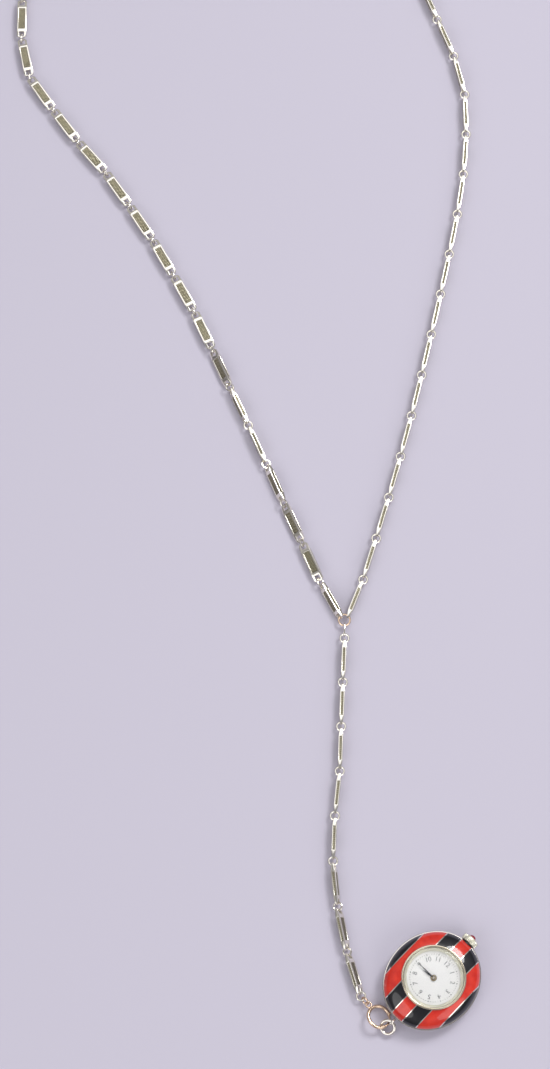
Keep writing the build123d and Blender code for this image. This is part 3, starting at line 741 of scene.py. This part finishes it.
@dataclass
class Face:
    """Bezel, crystal, reflecting ring, dial and hands."""

    finishes: Finishes
    front_top: float = 8.1
    bezel_outer: float = 8.85
    bezel_inner: float = 8.3
    bezel_rise: float = 0.65
    crystal_thickness: float = 0.45
    crystal_dome: float = 0.85
    dial_top: float = 6.75
    dial_radius: float = 8.6
    figure_radius: float = 5.25
    figure_height: float = 1.35
    figure_lift: float = 0.012
    dot_radius: float = 6.55
    hour_angle: float = 262.5
    minute_angle: float = 270.0
    reflector_outline: Outline = ((7.45, 6.85), (8.2, 6.85), (8.2, 8.1), (8.0, 8.1), (7.45, 7.05))
    centre_hole: float = 0.87
    dial_thickness: float = 0.33
    dot_sizes: tuple[float, float] = (0.10, 0.17)
    dot_height: float = 0.03
    leaf_height: float = 0.09
    leaf_root: tuple[float, float] = (0.12, 0.3)
    leaf_tip: float = 0.05
    boss_wall: float = 0.12
    boss_height: float = 0.13

    def build(self) -> None:
        """Builds the pieces of the face."""
        self.build_bezel()
        self.build_crystal()
        self.build_reflector()
        self.build_dial()
        self.build_hand("hour_pointer", "hour_work", "hour_hand", 3.6, 0.42, 7.0, 0.72, self.hour_angle)
        self.build_hand("minute_pointer", "minute_work", "minute_hand", 5.7, 0.30, 7.28, 0.42, self.minute_angle)

    def build_bezel(self) -> None:
        """Builds the polished ring round the crystal."""
        bench = Bench()
        top = self.front_top + self.bezel_rise
        outline = [(self.bezel_inner, self.front_top), (self.bezel_outer, self.front_top)]
        bench.spin_outline(outline + [(self.bezel_outer, top), (self.bezel_inner, top)], 128)
        bench.soften(0.17, 4)
        bench.finish("bezel", "case", "champagne", [self.finishes.metals[Metal.CHAMPAGNE]], ("bezel_ring",))

    def build_crystal(self) -> None:
        """Builds the domed crystal."""
        bench = Bench()
        edge = self.bezel_inner - 0.03
        low = self.front_top + 0.02
        outer = []
        inner = []
        for step in range(13):
            share = step / 12
            rise = self.crystal_dome * (1 - (1 - share) ** 2)
            outer.append((edge * (1 - share), low + self.crystal_thickness + rise))
            inner.append((edge * (1 - share), low + rise))
        bench.spin_outline(outer + list(reversed(inner)), 96)
        bench.face_outwards()
        bench.finish("crystal_glass", "case", "crystal", [self.finishes.others["crystal"]], ("crystal",), smooth=40.0)

    def build_reflector(self) -> None:
        """Builds the sloping ring inside the crystal."""
        bench = Bench()
        bench.spin_outline(self.reflector_outline, 128)
        bench.soften(0.05, 2)
        bench.finish("inner_ring", "case", "champagne", [self.finishes.metals[Metal.SATIN]], ("reflector_ring",))

    def build_dial(self) -> None:
        """Builds the dial with its figures and minute dots."""
        bench = Bench()
        low, high = self.dial_top - self.dial_thickness, self.dial_top
        inner, outer = self.centre_hole, self.dial_radius
        bench.spin_outline([(inner, low), (outer, low), (outer, high), (inner, high)], 96)
        bench.face_outwards()
        bench.finish("dial_plate", "case", "dial", [self.finishes.others["dial_silver"]], ("dial",))
        marks = Bench()
        for hour in range(1, 13):
            self.add_figure(marks, hour)
        for minute in range(60):
            dot = Bench()
            size = self.dot_sizes[minute % 5 == 0]
            bmesh.ops.create_circle(dot.mesh, cap_ends=True, segments=10, radius=size)
            dot.thicken(self.dot_height)
            dot.face_outwards()
            marks.add(dot, rotation("Z", -6 * minute) @ shift_by(0, self.dot_radius, self.dial_top - 0.005))
            dot.mesh.free()
        marks.finish("dial_figures", "case", "hands", [self.finishes.others["ink"]])

    def add_figure(self, marks: Bench, hour: int) -> None:
        """Adds one upright hour figure to the dial.

        Args:
            marks: bench that gathers the figures.
            hour: hour from 1 to 12.
        """
        text = bpy.data.curves.new("figure", "FONT")
        text.body = str(hour)
        text.size = self.figure_height * 1.35
        text.extrude = 0.015
        text.align_x = "CENTER"
        text.align_y = "CENTER"
        text.resolution_u = 3
        holder = bpy.data.objects.new("figure", text)
        bpy.context.scene.collection.objects.link(holder)
        bpy.context.view_layer.update()
        shaped = bpy.data.meshes.new_from_object(holder.evaluated_get(bpy.context.evaluated_depsgraph_get()))
        bpy.data.objects.remove(holder)
        bpy.data.curves.remove(text)
        angle = math.radians(30 * hour)
        across, along = self.figure_radius * math.sin(angle), self.figure_radius * math.cos(angle)
        place = shift_by(across, along, self.dial_top + self.figure_lift)
        shaped.transform(place @ rotation("Z", -30 * hour))
        marks.mesh.from_mesh(shaped)
        bpy.data.meshes.remove(shaped)

    def build_hand(
        self, name: str, body: str, node: str, length: float, width: float, low: float, hole: float, angle: float
    ) -> None:
        """Builds one leaf hand.

        Args:
            name: name of the piece.
            body: body that it rides on.
            node: CAD node that it stands for.
            length: reach from the dial's middle.
            width: widest part of the leaf.
            low: height of its underside.
            hole: radius of its hole.
            angle: clock angle from the crown, in degrees.
        """
        bench = Bench()
        root, start = self.leaf_root
        side = [(root, start), (width / 2, length * 0.5), (self.leaf_tip, length)]
        outline = [(-x, y) for x, y in side] + side[::-1]
        bench.mesh.faces.new([bench.mesh.verts.new((x, y, 0.02)) for x, y in outline])
        bench.thicken(self.leaf_height)
        bench.soften(0.025, 2)
        boss = Bench()
        outer = hole + self.boss_wall
        boss.spin_outline([(hole, 0.0), (outer, 0.0), (outer, self.boss_height), (hole, self.boss_height)], 32)
        boss.soften(0.03, 2)
        bench.add(boss, Matrix.Identity(4))
        boss.mesh.free()
        bench.move(shift_by(0, 0, low) @ rotation("Z", -angle))
        bench.finish(name, body, "hands", [self.finishes.others["hand_blue"]], (node,))


@dataclass
class Crown:
    """Crown with its ribs, cap and stone, the tube it runs on, and a near-black neck round the tube that paints the
    shade between case and crown.
    """

    finishes: Finishes
    seat: float = 14.0
    height: float = 3.4
    radius: float = 2.35
    root: float = 2.2
    length: float = 1.5
    ribs: int = 26
    cap_radius: float = 1.6
    cap_rise: float = 0.35
    stone_radius: float = 0.98
    stone_rise: float = 0.75
    tube_outline: Outline = ((0.52, 12.4), (0.97, 12.4), (0.97, 14.2), (0.52, 14.2))
    # Outline of the near-black neck that paints the shade under the crown.
    collar_outline: Outline = ((1.0, 11.8), (1.5, 11.8), (1.95, 12.5), (2.05, 13.4), (1.9, 13.85), (1.0, 13.85))

    def place(self) -> Matrix:
        """Place of the crown's inner end, with its own axis along the stem."""
        return shift_by(0, self.seat, self.height) @ rotation("X", -90)

    def build(self) -> None:
        """Builds the crown, its stone, the tube and the near-black neck that paints the shade under the crown."""
        bench = Bench()
        ring = {"cap_ends": True, "segments": self.ribs * 4, "radius": self.radius}
        verts = bmesh.ops.create_circle(bench.mesh, **ring)["verts"]
        for index, vert in enumerate(verts):
            if index % 4 in (0, 1):
                vert.co *= self.root / self.radius
        bench.thicken(self.length)
        bench.soften(0.07, 2, 60.0)
        cap = Bench()
        hole = self.stone_radius + 0.02
        outline = [(hole, 0.0), (self.cap_radius, 0.0), (self.cap_radius, self.cap_rise * 0.7)]
        outline += [(self.cap_radius - 0.12, self.cap_rise), (hole, self.cap_rise)]
        cap.spin_outline(outline, 48)
        cap.soften(0.05, 2)
        bench.add(cap, shift_by(0, 0, self.length - 0.01))
        cap.mesh.free()
        bench.move(self.place())
        metals = self.finishes.metals
        bench.finish("crown_knob", "winding_work", "champagne", [metals[Metal.SATIN]], ("crown",))
        stone = Bench()
        outline = [(0.0, 0.0), (self.stone_radius, 0.0), (self.stone_radius, self.cap_rise)]
        for step in range(1, 9):
            angle = math.radians(90 * step / 8)
            outline.append((self.stone_radius * math.cos(angle), self.cap_rise + self.stone_rise * math.sin(angle)))
        stone.spin_outline(outline, 40)
        stone.face_outwards()
        stone.move(self.place() @ shift_by(0, 0, self.length))
        stone.finish("crown_stone", "winding_work", "ruby", [self.finishes.others["ruby"]], ("crown_cabochon",))
        round_stem = shift_by(0, 0, self.height) @ rotation("X", -90)
        tube = Bench()
        tube.spin_outline(self.tube_outline, 32)
        tube.soften(0.05, 2)
        tube.move(round_stem)
        tube.finish("crown_tube", "case", "silver", [metals[Metal.SILVER]], ("pendant_tube",))
        # Painted shade: a near-black neck round the tube, put where the gap between case and crown lies in shade.
        shade_neck = Bench()
        shade_neck.spin_outline(self.collar_outline, 48)
        shade_neck.soften(0.08, 2, 20.0)
        shade_neck.move(round_stem)
        shade_neck.finish("painted_shade_neck", "case", "enamel_black", [self.finishes.others["painted_shade_coat"]])


@dataclass
class Chain:
    """Bow, clasp, drop, junction ring and the two strands of bar links."""

    finishes: Finishes
    pitch: float = 12.8
    height: float = 1.5
    ring_radius: float = 1.2
    ring_wire: float = 0.56
    bar_width: float = 2.8
    bar_thickness: float = 1.3
    bar_end_thickness: float = 0.4
    bar_start: float = 0.36
    bar_end: float = 0.42
    window: tuple[float, float] = (1.35, 1.5)
    taper_end: float = 2.7
    corner: float = 0.5
    margin: float = 0.42
    panel_depth: float = 0.14
    panel_slope: float = 0.07
    groove_margin: float = 0.3
    groove_slope: float = 0.06
    groove_depth: float = 0.1
    junction_radius: float = 1.62
    strand_offset: float = 0.64
    connector_length: float = 3.7
    connector_wire: float = 0.5
    connector_slack: float = 0.06
    lug_reach: float = 16.3
    lug_height: float = 2.6
    bow_radius: float = 1.92
    bow_wire: float = 0.95
    bow_height: float = 1.8
    clasp_radius: float = 3.1
    clasp_wire: float = 1.0
    clasp_height: float = 1.9
    clasp_step: float = 3.7
    clasp_heading: float = -40.4
    clasp_tilt: float = 24.0
    gap_bearing: float = 205.0
    gap_angle: float = 70.0
    eye_radius: float = 0.82
    eye_wire: float = 0.45
    eye_sink: float = 0.28
    jump_radius: float = 1.15
    jump_wire: float = 0.5
    link_slack: float = 0.08
    bolt_wire: float = 0.56
    bolt_overlap: float = 1.0
    knob_step: float = 8.0
    knob_outline: Outline = ((0.0, 0.0), (0.2, 0.0), (0.2, 0.85), (0.3, 0.9), (0.3, 1.02), (0.0, 1.04))
    oval_radius: float = 0.7
    nape_links: int = 12
    drop_headings: tuple[float, ...] = (-17, -11.5, -5.5, 2.5, 6.5, 2, 2.5, 2.5)
    drop_rolls: tuple[float, ...] = (58, 60, 75, 90, 90, 90, 90, 90)
    headings: dict[Side, tuple[float, ...]] = field(
        default_factory=lambda: {
            Side.LEFT: (-29, -24, -24, -23.5, -24, -25, -24, -25)
            + (-28.5, -29.5, -33, -34.5, -40.5, -36.5, -34.5, -12, 0),
            Side.RIGHT: (22, 17.5, 17, 16, 15, 14, 13.5, 13, 12.5, 11.5, 9, 4.5, -1, -14, -22, -22),
        }
    )
    rolls: dict[Side, tuple[float, ...]] = field(
        default_factory=lambda: {
            Side.LEFT: (-66, -20, -40, -62, -90, -78, -45) + (0,) * 16,
            Side.RIGHT: (90,) * 16 + (90, 90, 75, 50, 25, 0),
        }
    )
    groups: dict[Side, tuple[int, ...]] = field(
        default_factory=lambda: {Side.LEFT: (4, 4, 4, 4, 4, 3), Side.RIGHT: (4, 4, 4, 4, 3, 3)}
    )

    def course(self, heading: float) -> Vector:
        """Unit vector of a heading, clockwise from +Y."""
        angle = math.radians(heading)
        return Vector((math.sin(angle), math.cos(angle), 0.0))

    def walk(self, start: Vector, headings: tuple[float, ...]) -> list[Vector]:
        """Ring centres of a run of links.

        Args:
            start: first ring centre.
            headings: heading of each link.

        Returns:
            All the ring centres.
        """
        points = [start]
        for heading in headings:
            points.append(points[-1] + self.course(heading) * self.pitch)
        return points

    def nape(self, start: Vector, end: Vector) -> list[float]:
        """Headings of the links that close the loop as one even arc.

        Args:
            start: last ring centre of the left strand.
            end: last ring centre of the right strand.

        Returns:
            The heading of each link of the arc.
        """
        chord = end - start
        low, high = 0.001, math.tau / self.nape_links
        for _ in range(60):
            turn = (low + high) / 2
            if math.sin(self.nape_links * turn / 2) / math.sin(turn / 2) > chord.length / self.pitch:
                low = turn
            else:
                high = turn
        across = math.degrees(math.atan2(chord.x, chord.y))
        return [across + math.degrees(turn) * (link - (self.nape_links - 1) / 2) for link in range(self.nape_links)]

    def frame_on(self, point: Vector, along: Vector, roll: float) -> Matrix:
        """Place at a point, its X along a direction and its Z turned by a roll about that X.

        Args:
            point: origin of the place.
            along: direction of its X.
            roll: turn of its Z from upright, in degrees.

        Returns:
            The place as a matrix.
        """
        forward = along.normalized()
        right = forward.cross(Vector((0, 0, 1))).normalized()
        level = right.cross(forward)
        angle = math.radians(roll)
        up = level * math.cos(angle) + right * math.sin(angle)
        side = up.cross(forward)
        turned = Matrix((forward, side, up)).transposed().to_4x4()
        return Matrix.Translation(point) @ turned

    def make_bar(self) -> Bench:
        """One bar link along +X from its first ring centre.

        Returns:
            The bench that holds it, with the panel in slot 1.
        """
        bench = Bench(turn=False)
        mesh = bench.mesh
        middle = self.pitch / 2
        length = self.pitch - 2 * self.bar_start
        bmesh.ops.create_grid(mesh, x_segments=1, y_segments=1, size=0.5)
        bench.move(shift_by(middle, 0, 0) @ Matrix.Diagonal((length, self.bar_width, 1, 1)))
        near = self.bar_start + self.bar_end
        cuts = [near, near + self.window[0], self.taper_end]
        cuts += [self.pitch - cut for cut in cuts]
        for cut in cuts:
            bench.cut((cut, 0, 0), (1, 0, 0))
        for side in (-1, 1):
            bench.cut((0, side * self.window[1] / 2, 0), (0, 1, 0))
        for end in (-1, 1):
            for side in (-1, 1):
                along = middle + end * (length / 2 - self.corner / 2)
                across = side * (self.bar_width / 2 - self.corner / 2)
                bench.cut((along, across, 0), (end, side, 0), clear=True)
        open_faces = []
        for face in mesh.faces:
            centre = face.calc_center_median()
            reach = min(centre.x, self.pitch - centre.x)
            if near < reach < near + self.window[0] and abs(centre.y) < self.window[1] / 2:
                open_faces.append(face)
        bmesh.ops.delete(mesh, geom=open_faces, context="FACES")
        bench.thicken(1.0)
        thin, thick = self.bar_end_thickness / 2, self.bar_thickness / 2
        for vert in mesh.verts:
            reach = min(vert.co.x, self.pitch - vert.co.x)
            share = min(1.0, (reach - self.bar_start) / (self.taper_end - self.bar_start))
            vert.co.z = (thin + (thick - thin) * share) * (1 if vert.co.z > 0.5 else -1)
        bench.face_outwards()
        inner = [face for face in mesh.faces if abs(face.calc_center_median().x - middle) < middle - self.taper_end]
        levels = [face for face in inner if abs(face.normal.z) > 0.99]
        for face in inner:
            if abs(face.normal.y) > 0.99:
                bench.sink_panel([face], self.groove_margin, self.groove_slope, self.groove_depth)
        for sign in (-1, 1):
            region = [face for face in levels if face.normal.z * sign > 0]
            bench.sink_panel(region, self.margin, self.panel_slope, self.panel_depth)
        bench.soften(0.06, 2, 20.0)
        layer = mesh.loops.layers.uv.new("along_bar")
        for face in mesh.faces:
            for loop in face.loops:
                loop[layer].uv = (loop.vert.co.x, loop.vert.co.y)
        return bench

    def make_ring(self, radius: float, wire: float) -> Bench:
        """Round ring whose own axis is Y.

        Args:
            radius: radius of its centre line.
            wire: diameter of its wire.

        Returns:
            The bench that holds it.
        """
        bench = Bench(turn=False)
        bench.torus(radius, wire, 28, 10)
        bench.face_outwards()
        bench.move(rotation("X", 90))
        return bench

    def places(self) -> dict[str, object]:
        """Where each piece of the chain lies.

        Returns:
            Ring centres and directions by name.
        """
        spot: dict[str, object] = {}
        away = self.course(WATCH_HEADING + 180)
        drop = math.sqrt(self.bow_radius**2 - (self.lug_height - self.bow_height) ** 2)
        lug = away * self.lug_reach + Vector((0, 0, self.lug_height))
        bow = away * (self.lug_reach + drop) + Vector((0, 0, self.bow_height))
        out = self.course(self.clasp_heading)
        clasp = Vector((bow.x, bow.y, self.clasp_height)) + out * self.clasp_step
        eye = self.clasp_radius + self.clasp_wire / 2 + self.eye_radius + self.eye_wire / 2 - self.eye_sink
        jump = eye + self.eye_radius - self.eye_wire / 2 + self.jump_radius - self.jump_wire / 2 - self.link_slack
        foot = jump + self.jump_radius - self.jump_wire / 2 + self.ring_radius - self.ring_wire / 2 - self.link_slack
        spot.update(lug=lug, bow=bow, out=out, clasp=clasp, eye=eye)
        ahead = clasp + out * jump
        spot["jump"] = Vector((ahead.x, ahead.y, (self.clasp_height + self.height) / 2))
        start = clasp + out * foot
        spot["drop"] = self.walk(Vector((start.x, start.y, self.height)), self.drop_headings)
        inner = self.ring_radius - self.ring_wire / 2 - self.connector_slack - self.connector_wire / 2
        outer = self.junction_radius - self.ring_wire / 2 - self.connector_slack - self.connector_wire / 2
        north = self.course(0)
        low = spot["drop"][-1] + north * inner
        high = low + north * self.connector_length
        spot["connector"] = (low, high)
        junction = high + north * outer
        spot["junction"] = junction
        left = self.walk(junction - Vector((self.strand_offset, 0, 0)), self.headings[Side.LEFT])
        right = self.walk(junction + Vector((self.strand_offset, 0, 0)), self.headings[Side.RIGHT])
        arc = self.nape(left[-1], right[-1])
        half = self.nape_links // 2
        left += self.walk(left[-1], tuple(arc[:half]))[1:]
        right += self.walk(right[-1], tuple(heading + 180 for heading in reversed(arc[half:])))[1:]
        spot[Side.LEFT] = left
        spot[Side.RIGHT] = right
        return spot

    def ring_rolls(self, rolls: tuple[float, ...], first: float, last: float) -> list[float]:
        """Roll of each ring, halfway between the bars that it joins."""
        return [first] + [(a + b) / 2 for a, b in zip(rolls, rolls[1:])] + [last]

    def build(self) -> None:
        """Builds every piece of the chain."""
        spot = self.places()
        bar = self.make_bar()
        ring = self.make_ring(self.ring_radius, self.ring_wire)
        metal = self.finishes.metals
        looks = [metal[Metal.CHAIN], self.finishes.others["engraved_panel"]]
        self.build_bow(spot)
        self.build_clasp(spot)
        jump = self.make_ring(self.jump_radius, self.jump_wire)
        jump.move(self.frame_on(spot["jump"], spot["out"], self.clasp_tilt))
        jump.finish("jump_ring", "jump_ring", "warm_gold", [metal[Metal.WARM]], ("clasp_jump_ring",))
        drop = spot["drop"]
        north = self.course(0)
        points = drop + [drop[-1] + north * self.pitch]
        rolls = self.ring_rolls(self.drop_rolls, 90, 90)
        for number, roll in enumerate(self.drop_rolls, 1):
            bench = Bench(turn=False)
            back, here, ahead = points[number - 1 : number + 2]
            bench.add(bar, self.frame_on(back, here - back, roll))
            bench.add(ring, self.frame_on(here, ahead - here, rolls[number]), 0)
            if number == 1:
                bench.add(ring, self.frame_on(drop[0], drop[1] - spot["jump"], rolls[0]), 0)
            bench.finish(f"drop_bar_{number}", f"drop_{number}", "chain_metal", looks, (f"drop_link_{number}",))
        self.build_connector(spot)
        hub = self.make_ring(self.junction_radius, self.ring_wire)
        hub.move(self.frame_on(spot["junction"], north, 90))
        hub.finish("hub_ring", "junction", "warm_gold", [metal[Metal.WARM]], ("junction_ring",))
        for side in Side:
            self.build_strand(side, spot, bar, ring, looks)
        bar.mesh.free()
        ring.mesh.free()

    def build_strand(
        self, side: Side, spot: dict[str, object], bar: Bench, ring: Bench, looks: list[bpy.types.Material]
    ) -> None:
        """Builds the runs of bar links of one strand.

        Args:
            side: which strand.
            spot: places of the chain.
            bar: bench of one bar.
            ring: bench of one ring.
            looks: materials of bar and panel.
        """
        other = Side.RIGHT if side is Side.LEFT else Side.LEFT
        points = spot[side] + [spot[other][-2]]
        rolls = self.rolls[side]
        turns = self.ring_rolls(rolls, rolls[0], rolls[-1])
        link = 0
        for number, count in enumerate(self.groups[side], 1):
            bench = Bench(turn=False)
            for _ in range(count):
                back, here, ahead = points[link : link + 3]
                bench.add(bar, self.frame_on(back, here - back, rolls[link]))
                link += 1
                if link < len(rolls):
                    bench.add(ring, self.frame_on(here, ahead - here, turns[link]), 0)
            node = f"{side.value}_strand_{number}"
            bench.finish(f"{side.value}_run_{number}", f"{side.value}_{number}", "chain_metal", looks, (node,))

    def build_bow(self, spot: dict[str, object]) -> None:
        """Builds the bow that hangs in the lug."""
        bench = Bench(turn=False)
        bench.torus(self.bow_radius, self.bow_wire, 48, 16)
        bench.face_outwards()
        bench.move(self.frame_on(spot["bow"], spot["bow"] - spot["lug"], 0))
        bench.finish("bow", "bow", "silver", [self.finishes.metals[Metal.SILVER]], ("bow_ring",))

    def build_clasp(self, spot: dict[str, object]) -> None:
        """Builds the spring ring, its eye and its bolt."""
        place = self.frame_on(spot["clasp"], spot["out"], 0) @ rotation("X", self.clasp_tilt)
        body = Bench(turn=False)
        body.torus(self.clasp_radius, self.clasp_wire, 56, 16, 360 - self.gap_angle)
        body.face_outwards()
        body.move(rotation("Z", self.gap_bearing + self.gap_angle / 2))
        eye = Bench(turn=False)
        eye.torus(self.eye_radius, self.eye_wire, 24, 10)
        eye.face_outwards()
        body.add(eye, shift_by(spot["eye"], 0, 0))
        eye.mesh.free()
        body.move(place)
        gold = [self.finishes.metals[Metal.WARM]]
        body.finish("spring_ring", "clasp", "warm_gold", gold, ("spring_ring_body",))
        bolt = Bench(turn=False)
        bolt.torus(self.clasp_radius, self.bolt_wire, 24, 10, self.gap_angle + 2 * self.bolt_overlap)
        bolt.face_outwards()
        bolt.move(rotation("Z", self.gap_bearing - self.gap_angle / 2 - self.bolt_overlap))
        knob = Bench(turn=False)
        knob.spin_outline(self.knob_outline, 20)
        knob.face_outwards()
        bearing = math.radians(self.gap_bearing + self.gap_angle / 2 + self.knob_step)
        bolt.add(knob, shift_by(self.clasp_radius * math.cos(bearing), self.clasp_radius * math.sin(bearing), 0))
        knob.mesh.free()
        bolt.move(place)
        bolt.finish("spring_bolt", "clasp_bolt", "warm_gold", gold, ("spring_ring_bolt",))

    def build_connector(self, spot: dict[str, object]) -> None:
        """Builds the long oval link under the junction ring."""
        low, high = spot["connector"]
        half = (high - low).length / 2
        bench = Bench(turn=False)
        bench.torus(self.oval_radius, self.connector_wire, 32, 10)
        for vert in bench.mesh.verts:
            vert.co.x += math.copysign(half - self.oval_radius, vert.co.x) if abs(vert.co.x) > 0.001 else 0.0
        bench.face_outwards()
        bench.move(self.frame_on((low + high) / 2, high - low, 90))
        metal = self.finishes.metals[Metal.CHAIN]
        bench.finish("oval_link", "connector", "chain_metal", [metal], ("drop_connector",))


@dataclass
class Movement:
    """CAD pieces inside the closed case, dressed in brass and steel."""

    finishes: Finishes
    brass: tuple[str, ...] = (
        "main_plate", "train_bridge", "barrel_bridge", "balance_cock", "barrel", "centre_wheel",
        "third_wheel", "fourth_wheel", "hour_wheel", "minute_wheel", "balance_wheel",
    )
    steel: tuple[str, ...] = (
        "escape_wheel", "pallet_fork", "hairspring", "cannon_pinion", "winding_stem", "crown_wheel",
        "ratchet_wheel", "setting_lever",
    )

    def build(self) -> None:
        """Gives each piece of the movement its metal."""
        for metal, names in ((Metal.MOVEMENT, self.brass), (Metal.STEEL, self.steel)):
            for name in names:
                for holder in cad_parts[name].material_slots:
                    holder.material = self.finishes.metals[metal]
                log.info("%s: CAD piece in %s", name, metal.value)


@dataclass
class Studio:
    """Plain floor, soft lights and the camera."""

    floor_colour: Colour = (0.61, 0.58, 0.68)
    camera_place: tuple[float, float, float] = (-43.6, -95.65, 834.62)
    camera_pitch: float = 15.0
    focal_pixels: float = 3000.0
    frame_pixels: float = 1069.0
    sensor: float = 36.0
    floor_size: float = 1500.0
    floor_height: float = -0.25
    aim: tuple[float, float, float] = (-0.03, 0.1, 0.0)
    lamps: tuple[tuple[str, tuple[float, float, float], float, float], ...] = (
        ("key_lamp", (0.5, 0.6, 0.95), 0.45, 6.2),
        ("chain_lamp", (-0.05, 0.46, 0.88), 0.75, 1.5),
        ("left_lamp", (-0.5, -0.35, 0.55), 0.6, 1.4),
        ("right_lamp", (0.42, -0.5, 0.5), 0.6, 1.4),
    )
    sky_levels: tuple[tuple[float, float], ...] = ((0.30, 0.50), (0.62, 0.85), (0.85, 0.50))
    sky_strength: float = 0.6

    def build(self) -> None:
        """Builds the floor, the lights, the world and the camera."""
        self.build_floor()
        self.build_lights()
        self.build_world()
        self.build_camera()

    def build_floor(self) -> None:
        """Builds the plain pale floor."""
        bench = Bench(turn=False)
        bmesh.ops.create_grid(bench.mesh, x_segments=1, y_segments=1, size=self.floor_size)
        bench.move(shift_by(0, 0, self.floor_height))
        bench.move(Matrix.Scale(MM, 4))
        data = bpy.data.meshes.new("floor")
        bench.mesh.to_mesh(data)
        bench.mesh.free()
        cover = ShaderBench("floor_cloth")
        cover.principled({"Base Color": (*self.floor_colour, 1.0), "Roughness": 0.9, "Specular IOR Level": 0.1})
        data.materials.append(cover.material)
        floor = bpy.data.objects.new("floor", data)
        bpy.context.scene.collection.objects.link(floor)

    def build_lights(self) -> None:
        """Builds four soft lamps, one of them mirrored by the level faces of the chain."""
        for name, place, size, power in self.lamps:
            data = bpy.data.lights.new(name, "AREA")
            data.shape = "DISK"
            data.size = size
            data.energy = power
            lamp = bpy.data.objects.new(name, data)
            lamp.location = place
            lamp.rotation_euler = (Vector(self.aim) - Vector(place)).to_track_quat("-Z", "Y").to_euler()
            bpy.context.scene.collection.objects.link(lamp)

    def build_world(self) -> None:
        """Builds a soft sky, brightest halfway up, so that flats stay calm and edges shine."""
        world = bpy.data.worlds.new("studio")
        bpy.context.scene.world = world
        world.use_nodes = True
        tree = world.node_tree
        tree.nodes.clear()
        place = tree.nodes.new("ShaderNodeTexCoord")
        split = tree.nodes.new("ShaderNodeSeparateXYZ")
        ramp = tree.nodes.new("ShaderNodeValToRGB")
        back = tree.nodes.new("ShaderNodeBackground")
        out = tree.nodes.new("ShaderNodeOutputWorld")
        ramp.color_ramp.elements[0].color = (0.14, 0.13, 0.14, 1)
        ramp.color_ramp.elements[1].color = (0.48, 0.48, 0.52, 1)
        for height, level in self.sky_levels:
            ramp.color_ramp.elements.new(height).color = (level, level * 0.98, level, 1)
        tree.links.new(place.outputs["Generated"], split.inputs[0])
        tree.links.new(split.outputs["Z"], ramp.inputs["Fac"])
        tree.links.new(ramp.outputs["Color"], back.inputs["Color"])
        back.inputs["Strength"].default_value = self.sky_strength
        tree.links.new(back.outputs["Background"], out.inputs["Surface"])

    def build_camera(self) -> None:
        """Builds the camera at the photograph's angle."""
        data = bpy.data.cameras.new("camera")
        data.sensor_fit = "VERTICAL"
        data.sensor_height = self.sensor
        data.lens = self.focal_pixels / self.frame_pixels * self.sensor
        data.clip_start = 0.01
        data.clip_end = 10.0
        camera = bpy.data.objects.new("camera", data)
        camera.location = Vector(self.camera_place) * MM
        camera.rotation_euler = (math.radians(self.camera_pitch), 0, 0)
        bpy.context.scene.collection.objects.link(camera)
        bpy.context.scene.camera = camera


def main() -> None:
    """Builds the whole dressed object and its studio."""
    logging.basicConfig(level=logging.INFO, format="%(message)s")
    bpy.context.scene.view_settings.view_transform = "Standard"
    finishes = Finishes().make()
    for part in (Case(finishes), Face(finishes), Crown(finishes), Chain(finishes), Movement(finishes), Studio()):
        part.build()
        log.info("%s built", type(part).__name__)


if __name__ == "__main__":
    main()
